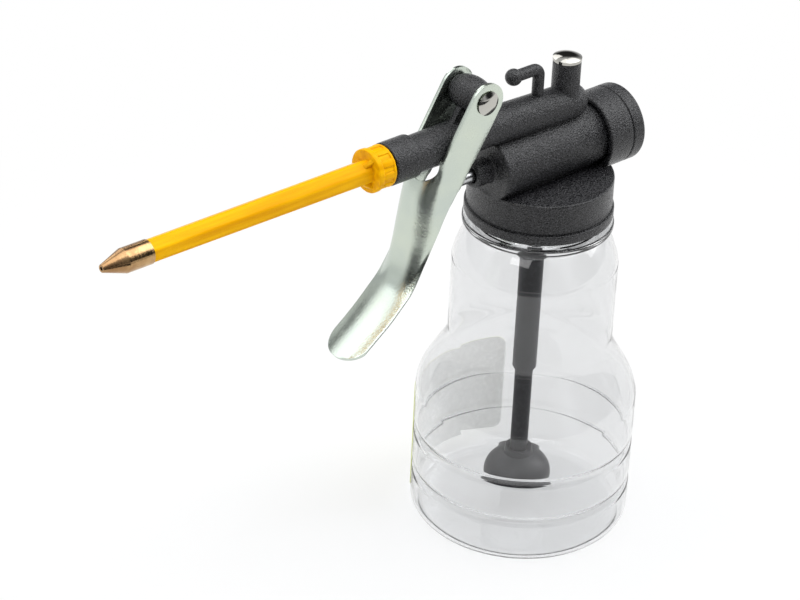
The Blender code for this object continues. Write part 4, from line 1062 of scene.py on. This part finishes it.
def run_through(stations):
    """Stations on a curve through the given ones, FINER times as close."""
    made = []
    last = len(stations) - 1
    for i in range(last):
        near = (stations[max(i - 1, 0)], stations[i], stations[i + 1], stations[min(i + 2, last)])
        for t in [k / FINER for k in range(FINER)]:
            made.append([0.5 * (2 * q + (r - p) * t + (2 * p - 5 * q + 4 * r - s) * t * t
                                + (3 * q - p - 3 * r + s) * t ** 3) for p, q, r, s in zip(*near)])
    return made + [stations[-1]]


FINE_STATIONS = run_through(STATIONS)
print("stations:", len(FINE_STATIONS))


# %% Trigger section and frames
def sheet_section(half, depth, corner, opened):
    """Half a section from the rear edge of a wall to the middle: (from the middle, behind the front)."""
    opened = min(1.0, max(0.0, opened))
    wide = min(corner * 1.25, half)
    deep = min(corner, depth)
    walls = [(half, depth + (deep - depth) * i / 5) for i in range(5)]
    bend = [(half - wide + wide * c, deep - deep * s) for c, s in arc(1, 0, 90, 12)]
    flat = [((half - wide) * (1 - i / 5), 0.0) for i in range(1, 6)]
    channel = walls + bend + flat
    shares = [1 - i / (len(channel) - 1) for i in range(len(channel))]
    return [(y + (half * t - y) * opened, d + (depth * t * t - d) * opened)
            for (y, d), t in zip(channel, shares)]


def sheet_frames():
    points = [Vector((-reach, 0, CAP_TOP_Z + up)) for reach, up, *_ in FINE_STATIONS]
    runs = [(points[min(i + 1, len(points) - 1)] - points[max(i - 1, 0)]).normalized()
            for i in range(len(points))]
    return [(at, run, Vector((run.z, 0, -run.x))) for at, run in zip(points, runs)]


def sheet_front():
    rows = []
    for (at, _, ahead), (_, _, *sizes) in zip(sheet_frames(), FINE_STATIONS):
        right = sheet_section(*sizes)
        left = [(-y, d) for y, d in right[-2::-1]]
        rows.append([at + Vector((0, y, 0)) - ahead * d for y, d in right + left])
    return loft("trigger_sheet", rows[::-1], "sheet")


# %% Cutters for the blank's outline, slot and tip
def side_keeper(run, ahead):
    """Side view of what stays: a round ear end about the rivet and everything below it."""
    end = [PIVOT + ahead * c - run * s for c, s in arc(EAR_R, 0, 180, 40)]
    rear = PIVOT - ahead * EAR_R + run * EAR_EDGES[0]
    front = PIVOT + ahead * EAR_R + run * EAR_EDGES[1]
    wide, far = ahead * 60, run * 130
    outline = end + [rear, rear - wide, rear - wide + far, front + wide + far, front + wide, front]
    return loft("side_keeper", [[at + Vector((0, y, 0)) for at in outline] for y in (25, -25)])


def slot_block(run, ahead):
    half = EAR_IN_Y + 0.1
    crest = Vector((-SLOT_REACH, 0, SLOT_BOTTOM_Z))
    low = [(half * c, half * 0.95 * (1 - s)) for c, s in arc(1, 0, 180, 32)]
    base = [crest - run * up + Vector((0, y, 0)) for y, up in low + [(-half, 45), (half, 45)]]
    return loft("slot_block", [[at + ahead * d for at in base] for d in (10, -30)])


def tip_block(at, run, ahead):
    centre = at - run * (TIP_R + 0.6)
    wide = 2.5 * TIP_R
    outline = [(wide, -0.6), (wide, wide), (-wide, wide), (-wide, -0.6)] + arc(TIP_R, 180, 0, 32)
    base = [centre + Vector((0, y, 0)) + run * s for y, s in outline]
    return loft("tip_block", [[b + ahead * d for b in base] for d in (TIP_R, -TIP_R)])


# %% Cut and finish the trigger
def make_trigger():
    frames = sheet_frames()
    _, run, ahead = frames[FINER]
    trigger = sheet_front()
    add_step(trigger, "SOLIDIFY", thickness=SHEET_T * MM, offset=-1.0, use_even_offset=True)
    hole_r = RIVET_R + SLIP
    hole = spun("rivet_hole", [(0, 30), (hole_r, 30), (hole_r, -30), (0, -30)], "Y", PIVOT, 48)
    cut(trigger, (side_keeper(run, ahead), "INTERSECT"), (slot_block(run, ahead), "DIFFERENCE"),
        (hole, "DIFFERENCE"), (tip_block(*frames[-1]), "DIFFERENCE"))
    add_step(trigger, "BEVEL", width=SHEET_EDGE * MM, segments=2, limit_method="ANGLE",
             angle_limit=math.radians(55))
    settled(trigger)
    trigger.data.shade_smooth()
    trigger.data.set_sharp_from_angle(angle=math.radians(32))
    return trigger


hand_over(make_trigger(), "trigger", "zinc_plate", ZINC, "trigger")

# %% [markdown]
# ## Rivet and valve plug
# Both are bright plated and domed, so each is a turned outline whose top is an arc of a large circle.
# The rivet goes through both ears and the boss. The plug closes the valve tower.


# %% Domes
RIVET_SEAT_R = 3.2
RIVET_HEAD_R = 3.9
RIVET_FAR_R = 3.1
PLUG_R = 4.6
PLUG_SHANK_R = 2.4
PLUG_LONG = 4.2


def domed(radius, rise, base):
    """Outline of a shallow dome, from its top to its rim."""
    ball_r = (radius ** 2 + rise ** 2) / (2 * rise)
    rim_deg = 90 - math.degrees(math.asin(radius / ball_r))
    return arc(ball_r, 90, rim_deg, 14, (0, base + rise - ball_r))


def make_rivet():
    """The head's rim stands a little off the ear, on a narrower seat, and casts a dark ring."""
    ear = EAR_IN_Y + SHEET_T + 0.05
    rim = ear + 0.35
    near = [(RIVET_SEAT_R, -ear), (RIVET_SEAT_R, -rim), (RIVET_HEAD_R - 0.1, -rim)]
    near += [(r, -y) for r, y in domed(RIVET_HEAD_R, 1.0, rim + 0.1)[::-1]]
    outline = domed(RIVET_FAR_R, 1.0, ear) + [(RIVET_R, ear), (RIVET_R, -ear)] + near
    return spun("rivet", outline, "Y", PIVOT, 64)


def make_plug():
    flange = TOWER_TOP_Z + 0.15
    low = TOWER_TOP_Z + 0.3 - PLUG_LONG
    outline = domed(PLUG_R, 1.1, flange + 0.95)
    outline += [(PLUG_R, flange), (PLUG_SHANK_R, flange), (PLUG_SHANK_R, low), (0, low)]
    return spun("valve_tower_plug", outline, centre=(TOWER_X, 0, 0), segments=72)


hand_over(make_rivet(), "trigger", "bright_plate", BRIGHT, "trigger_rivet")
hand_over(make_plug(), "head", "bright_plate", BRIGHT, "valve_plug")

# %% [markdown]
# ## Plunger
# The steel rod runs from the trigger through the barrel's nose to the piston. Only its domed front end
# shows. The piston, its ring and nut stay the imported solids, with a finish of their own, because their
# shapes are right and they lie inside.

# %% Make the rod
ROD_TAIL_R = 1.4


def make_rod():
    low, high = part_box("plunger_rod")
    front, rear = low.x / MM, high.x / MM
    outline = arc(ROD_R, -90, 0, 8, (0, front + ROD_R))
    outline += [(ROD_R, BORE_X), (ROD_TAIL_R, BORE_X), (ROD_TAIL_R, rear), (0, rear)]
    return spun("rod", outline, "X", ON_BARREL, 40)


hand_over(make_rod(), "plunger", "steel", STEEL, "plunger_rod")

# %% [markdown]
# ## Springs and balls
# The return spring pushes the piston forward, and a small spring holds the outlet ball on its seat. Both
# come from the coil tree, and each lies where its solid does.


def add_spring(name, solid, along, centre, wire_r, coil_r, turns):
    low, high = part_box(solid)
    i = "XYZ".index(along)
    start, end = [v * MM for v in centre], [v * MM for v in centre]
    start[i], end[i] = low[i] + wire_r * MM, high[i]
    long = high[i] - low[i]
    spring = baked(name, COIL, Matrix.Translation(start) @ TURNED[along], Wire_Radius=wire_r * MM,
                   Coil_Radius=coil_r * MM, Length=long - 2 * wire_r * MM, Turns=turns, Run_Out=0.0,
                   Finish=STEEL)
    hand_over(spring, "head", "steel", None, solid)
    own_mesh(spring)


add_spring("piston_spring", "return_spring", "X", ON_BARREL, 0.5, 5.8, 8.0)
add_spring("ball_spring", "outlet_spring", "Z", (TOWER_X, 0, 0), 0.3, 1.8, 5.0)


# %% Make the balls
def make_ball(solid):
    low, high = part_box(solid)
    outline = arc((high.x - low.x) / 2 / MM, 90, -90, 16)
    return spun("steel_" + solid, outline, centre=(low + high) / 2 / MM, segments=32)


for solid in ("outlet_ball", "inlet_ball"):
    hand_over(make_ball(solid), solid, "steel", STEEL, solid)

# %% [markdown]
# ## Suction and dip tubes with the foot
# These show through the bottle: a thick suction tube that is pressed into the head's socket, a thinner
# dip tube in its end, and a bell shaped foot near the bottom that keeps the oil coming when the can is
# tilted. All three are turned.

# %% Make the tubes
SUCTION_R = 3.9
SUCTION_BORE_R = 1.7
SUCTION_END_Z = 55.0
DIP_R = 2.9
DIP_BORE_R = 1.8
DIP_ROOM_R = 3.1
DIP_TOP_Z = SUCTION_END_Z + 8.5


def make_suction_tube():
    top = SUCTION_SEAT_Z - SLIP
    shoulder = SOCKET_Z - SLIP
    outline = [(SOCKET_BORE_R - SLIP, top), (SOCKET_BORE_R - SLIP, shoulder), (SUCTION_R, shoulder),
               (SUCTION_R, SUCTION_END_Z), (DIP_ROOM_R, SUCTION_END_Z), (DIP_ROOM_R, DIP_TOP_Z),
               (SUCTION_BORE_R, DIP_TOP_Z), (SUCTION_BORE_R, top)]
    return spun("suction_tube_turned", softened(outline, 0.35, closed=True), centre=UNDER_INLET, segments=56)


def make_dip_tube():
    low, high = (corner.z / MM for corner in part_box("dip_tube"))
    outline = [(DIP_R, high), (DIP_R, low), (DIP_BORE_R, low), (DIP_BORE_R, high)]
    return spun("dip_tube_turned", softened(outline, 0.2, 2, closed=True), centre=UNDER_INLET, segments=48)


hand_over(make_suction_tube(), "head", "black_tube_plastic", BLACK_TUBE, "suction_tube")
hand_over(make_dip_tube(), "head", "black_tube_plastic", BLACK_TUBE, "dip_tube")

# %% Make the foot
FOOT_Z = 13.5
FOOT_H = 9.8
FOOT_R = 11.0
FOOT_WALL = 1.2
FOOT_HUB_R = 4.3
FOOT_SOCKET_R = 3.2
FOOT_SEAT_Z = FOOT_Z + FOOT_H - 5.0


def make_foot():
    top = FOOT_Z + FOOT_H
    bell = [(FOOT_R * c, FOOT_Z + 0.8 + (FOOT_H - 1.8) * s) for c, s in arc(1, 64, 0, 24)]
    hollow = [(r - FOOT_WALL, max(FOOT_Z + 0.9, z - FOOT_WALL)) for r, z in bell if z < FOOT_SEAT_Z]
    outline = [(FOOT_HUB_R, top)] + bell + [(FOOT_R, FOOT_Z), (FOOT_R - FOOT_WALL, FOOT_Z)] + hollow[::-1]
    outline += [(DIP_BORE_R, FOOT_SEAT_Z - FOOT_WALL), (DIP_BORE_R, FOOT_SEAT_Z),
                (FOOT_SOCKET_R, FOOT_SEAT_Z), (FOOT_SOCKET_R, top)]
    return spun("suction_foot", outline, centre=UNDER_INLET)


hand_over(make_foot(), "head", "black_tube_plastic", BLACK_TUBE, "foot")

# %% [markdown]
# ## Spout
# The spout is moulded in yellow plastic in one with its screw collar. The bar has six sides with soft
# corners, and three fins brace it on the collar's flange. The collar's grip ribs repeat round a ring,
# which is work for Geometry Nodes: a circle of points, a rounded block on each.

# %% Spout sizes
COLLAR_X = (-65.6, -72.3)
COLLAR_R = 6.3
COLLAR_RIM = (0.9, 0.4)
FLANGE_X = -70.4
COLLAR_FLANGE_R = 6.9
SPOUT_END_X = -152.5
SPOUT_R = (4.1, 3.9)
SPOUT_BORE_R = 1.4
RIBS = 10
RIB_OVER = 0.3
RIB_WIDE = 2.3
RIB_HIGH = 0.8
FIN_LONG = 2.4
FIN_T = 1.4


# %% Collar
def make_collar():
    cup = OUTLET_NECK_R + SLIP
    floor_x = OUTLET_NECK_X - 1.2
    rear, front = COLLAR_X
    rim_x, rim_r = rear - COLLAR_RIM[0], COLLAR_R + COLLAR_RIM[1]
    outline = [(rim_r, rear), (rim_r, rim_x), (COLLAR_R, rim_x), (COLLAR_R, FLANGE_X),
               (COLLAR_FLANGE_R, FLANGE_X), (COLLAR_FLANGE_R, front), (SPOUT_BORE_R, front),
               (SPOUT_BORE_R, floor_x), (cup, floor_x), (cup, rear)]
    return spun("collar_form", softened(outline, 0.45, 4, closed=True), "X", ON_OUTLET)


# %% Grip ribs with Geometry Nodes
def rib_tree():
    tree, come, go = shared("grip_ribs", "GeometryNodeTree", ("Geometry",), Count=10,
                            Ring_Radius=COLLAR_R * MM, Rib_Size=Vector((1, 1, 1)) * MM, Finish=None)
    ring = node(tree, "GeometryNodeMeshCircle", Vertices=come["Count"], Radius=come["Ring Radius"])
    outward = node(tree, "FunctionNodeAlignEulerToVector", axis="Z",
                   Vector=node(tree, "GeometryNodeInputPosition"))
    straight = node(tree, "FunctionNodeAlignEulerToVector", axis="X", pivot_axis="Z", Vector=(0, 0, 1),
                    Rotation=outward)
    block = node(tree, "GeometryNodeMeshCube", Size=come["Rib Size"], Vertices_X=3, Vertices_Y=3,
                 Vertices_Z=3)
    soft = node(tree, "GeometryNodeSubdivisionSurface", Mesh=block, Level=2)
    ribs = node(tree, "GeometryNodeInstanceOnPoints", Points=ring, Instance=soft, Rotation=straight)
    painted(tree, ribs, come["Finish"], go["Geometry"])
    return tree


RIB_TREE = rib_tree()


def make_ribs():
    middle = Matrix.Translation(((COLLAR_X[0] + FLANGE_X) / 2 * MM, 0, OUTLET_Z * MM))
    half_turn = Matrix.Rotation(math.pi / RIBS, 4, "Z")
    size = Vector((COLLAR_X[0] - FLANGE_X + RIB_OVER, RIB_WIDE, RIB_HIGH)) * MM
    return baked("collar_ribs", RIB_TREE, middle @ TURNED["X"] @ half_turn, Count=RIBS,
                 Ring_Radius=(COLLAR_R - 0.05) * MM, Rib_Size=size, Finish=YELLOW)


# %% Bar and fins
def make_bar():
    """Six sided bar with a corner up, tapered, its corners rounded."""
    start = COLLAR_X[1] + 0.5
    sections = []
    for t in [i / 12 for i in range(13)]:
        corners = arc(SPOUT_R[0] + (SPOUT_R[1] - SPOUT_R[0]) * t, 90, 390, 5)
        sections.append([(start + (SPOUT_END_X - start) * t, y, OUTLET_Z + z)
                         for y, z in softened(corners, 0.75, 5, closed=True)])
    return loft("bar_form", sections)


def make_fin(angle):
    """Small brace between the flange and the bar, turned round the spout's axis."""
    rear, front = COLLAR_X[1] + 0.5, COLLAR_X[1] - FIN_LONG
    top = COLLAR_FLANGE_R - 1.2
    outline = [(rear, 0), (rear, top), (COLLAR_X[1], top), (front, SPOUT_R[0] - 0.4), (front, 0)]
    fin = extruded("fin_form", outline, FIN_T / 2, 0.2)
    fin.data.transform(Matrix.Translation(Vector(ON_OUTLET) * MM) @ Matrix.Rotation(angle, 4, "X"))
    return fin


fins = [make_fin(math.pi / 6 + 2 * math.pi * i / 3) for i in range(3)]
spout = merged("spout_moulding", make_collar(), make_ribs(), make_bar(), *fins)
hand_over(spout, "spout", "yellow_plastic", YELLOW, "spout")

# %% [markdown]
# ## Nozzle
# The nozzle is turned from brass: a short cylinder, a cone and a fine bore, on a spigot in the spout.

# %% Make the nozzle
NOZZLE_R = 3.8
NOZZLE_TIP_R = 1.2
NOZZLE_BORE_R = 0.6
NOZZLE_STRAIGHT = 8.6
NOZZLE_LONG = 16.3
SPIGOT_R = 2.2
SPIGOT_LONG = 6.5


def make_nozzle():
    rear = SPOUT_END_X - 0.05
    spigot = rear + SPIGOT_LONG
    cone = rear - NOZZLE_STRAIGHT
    tip = SPOUT_END_X - NOZZLE_LONG
    outline = [(SPIGOT_R, spigot), (SPIGOT_R, rear), (NOZZLE_R, rear), (NOZZLE_R, cone), (NOZZLE_TIP_R, tip),
               (NOZZLE_BORE_R, tip), (NOZZLE_BORE_R, spigot)]
    return spun("brass_nozzle", softened(outline, 0.12, closed=True), "X", ON_OUTLET, 80)


hand_over(make_nozzle(), "spout", "brass", BRASS, "nozzle")

# %% [markdown]
# ## Pieces that stay as solids
# Gasket, seals, piston, ring, nut and strainer have the right shape already and lie inside, so they
# keep their solids and only take a finish.

# %% Give the solids their finish
KEPT = {"neck_gasket": RUBBER, "rod_seal": RUBBER, "end_cap_seal": RUBBER, "spout_seal": RUBBER,
        "piston_ring": RUBBER, "piston": WHITE, "piston_nut": STEEL, "foot_screen": STRAINER}
for name, material in KEPT.items():
    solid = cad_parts[name]
    solid.data.materials.clear()
    solid.data.materials.append(material)
print("kept:", len(KEPT), "solids, made:", len(handed), "pieces")
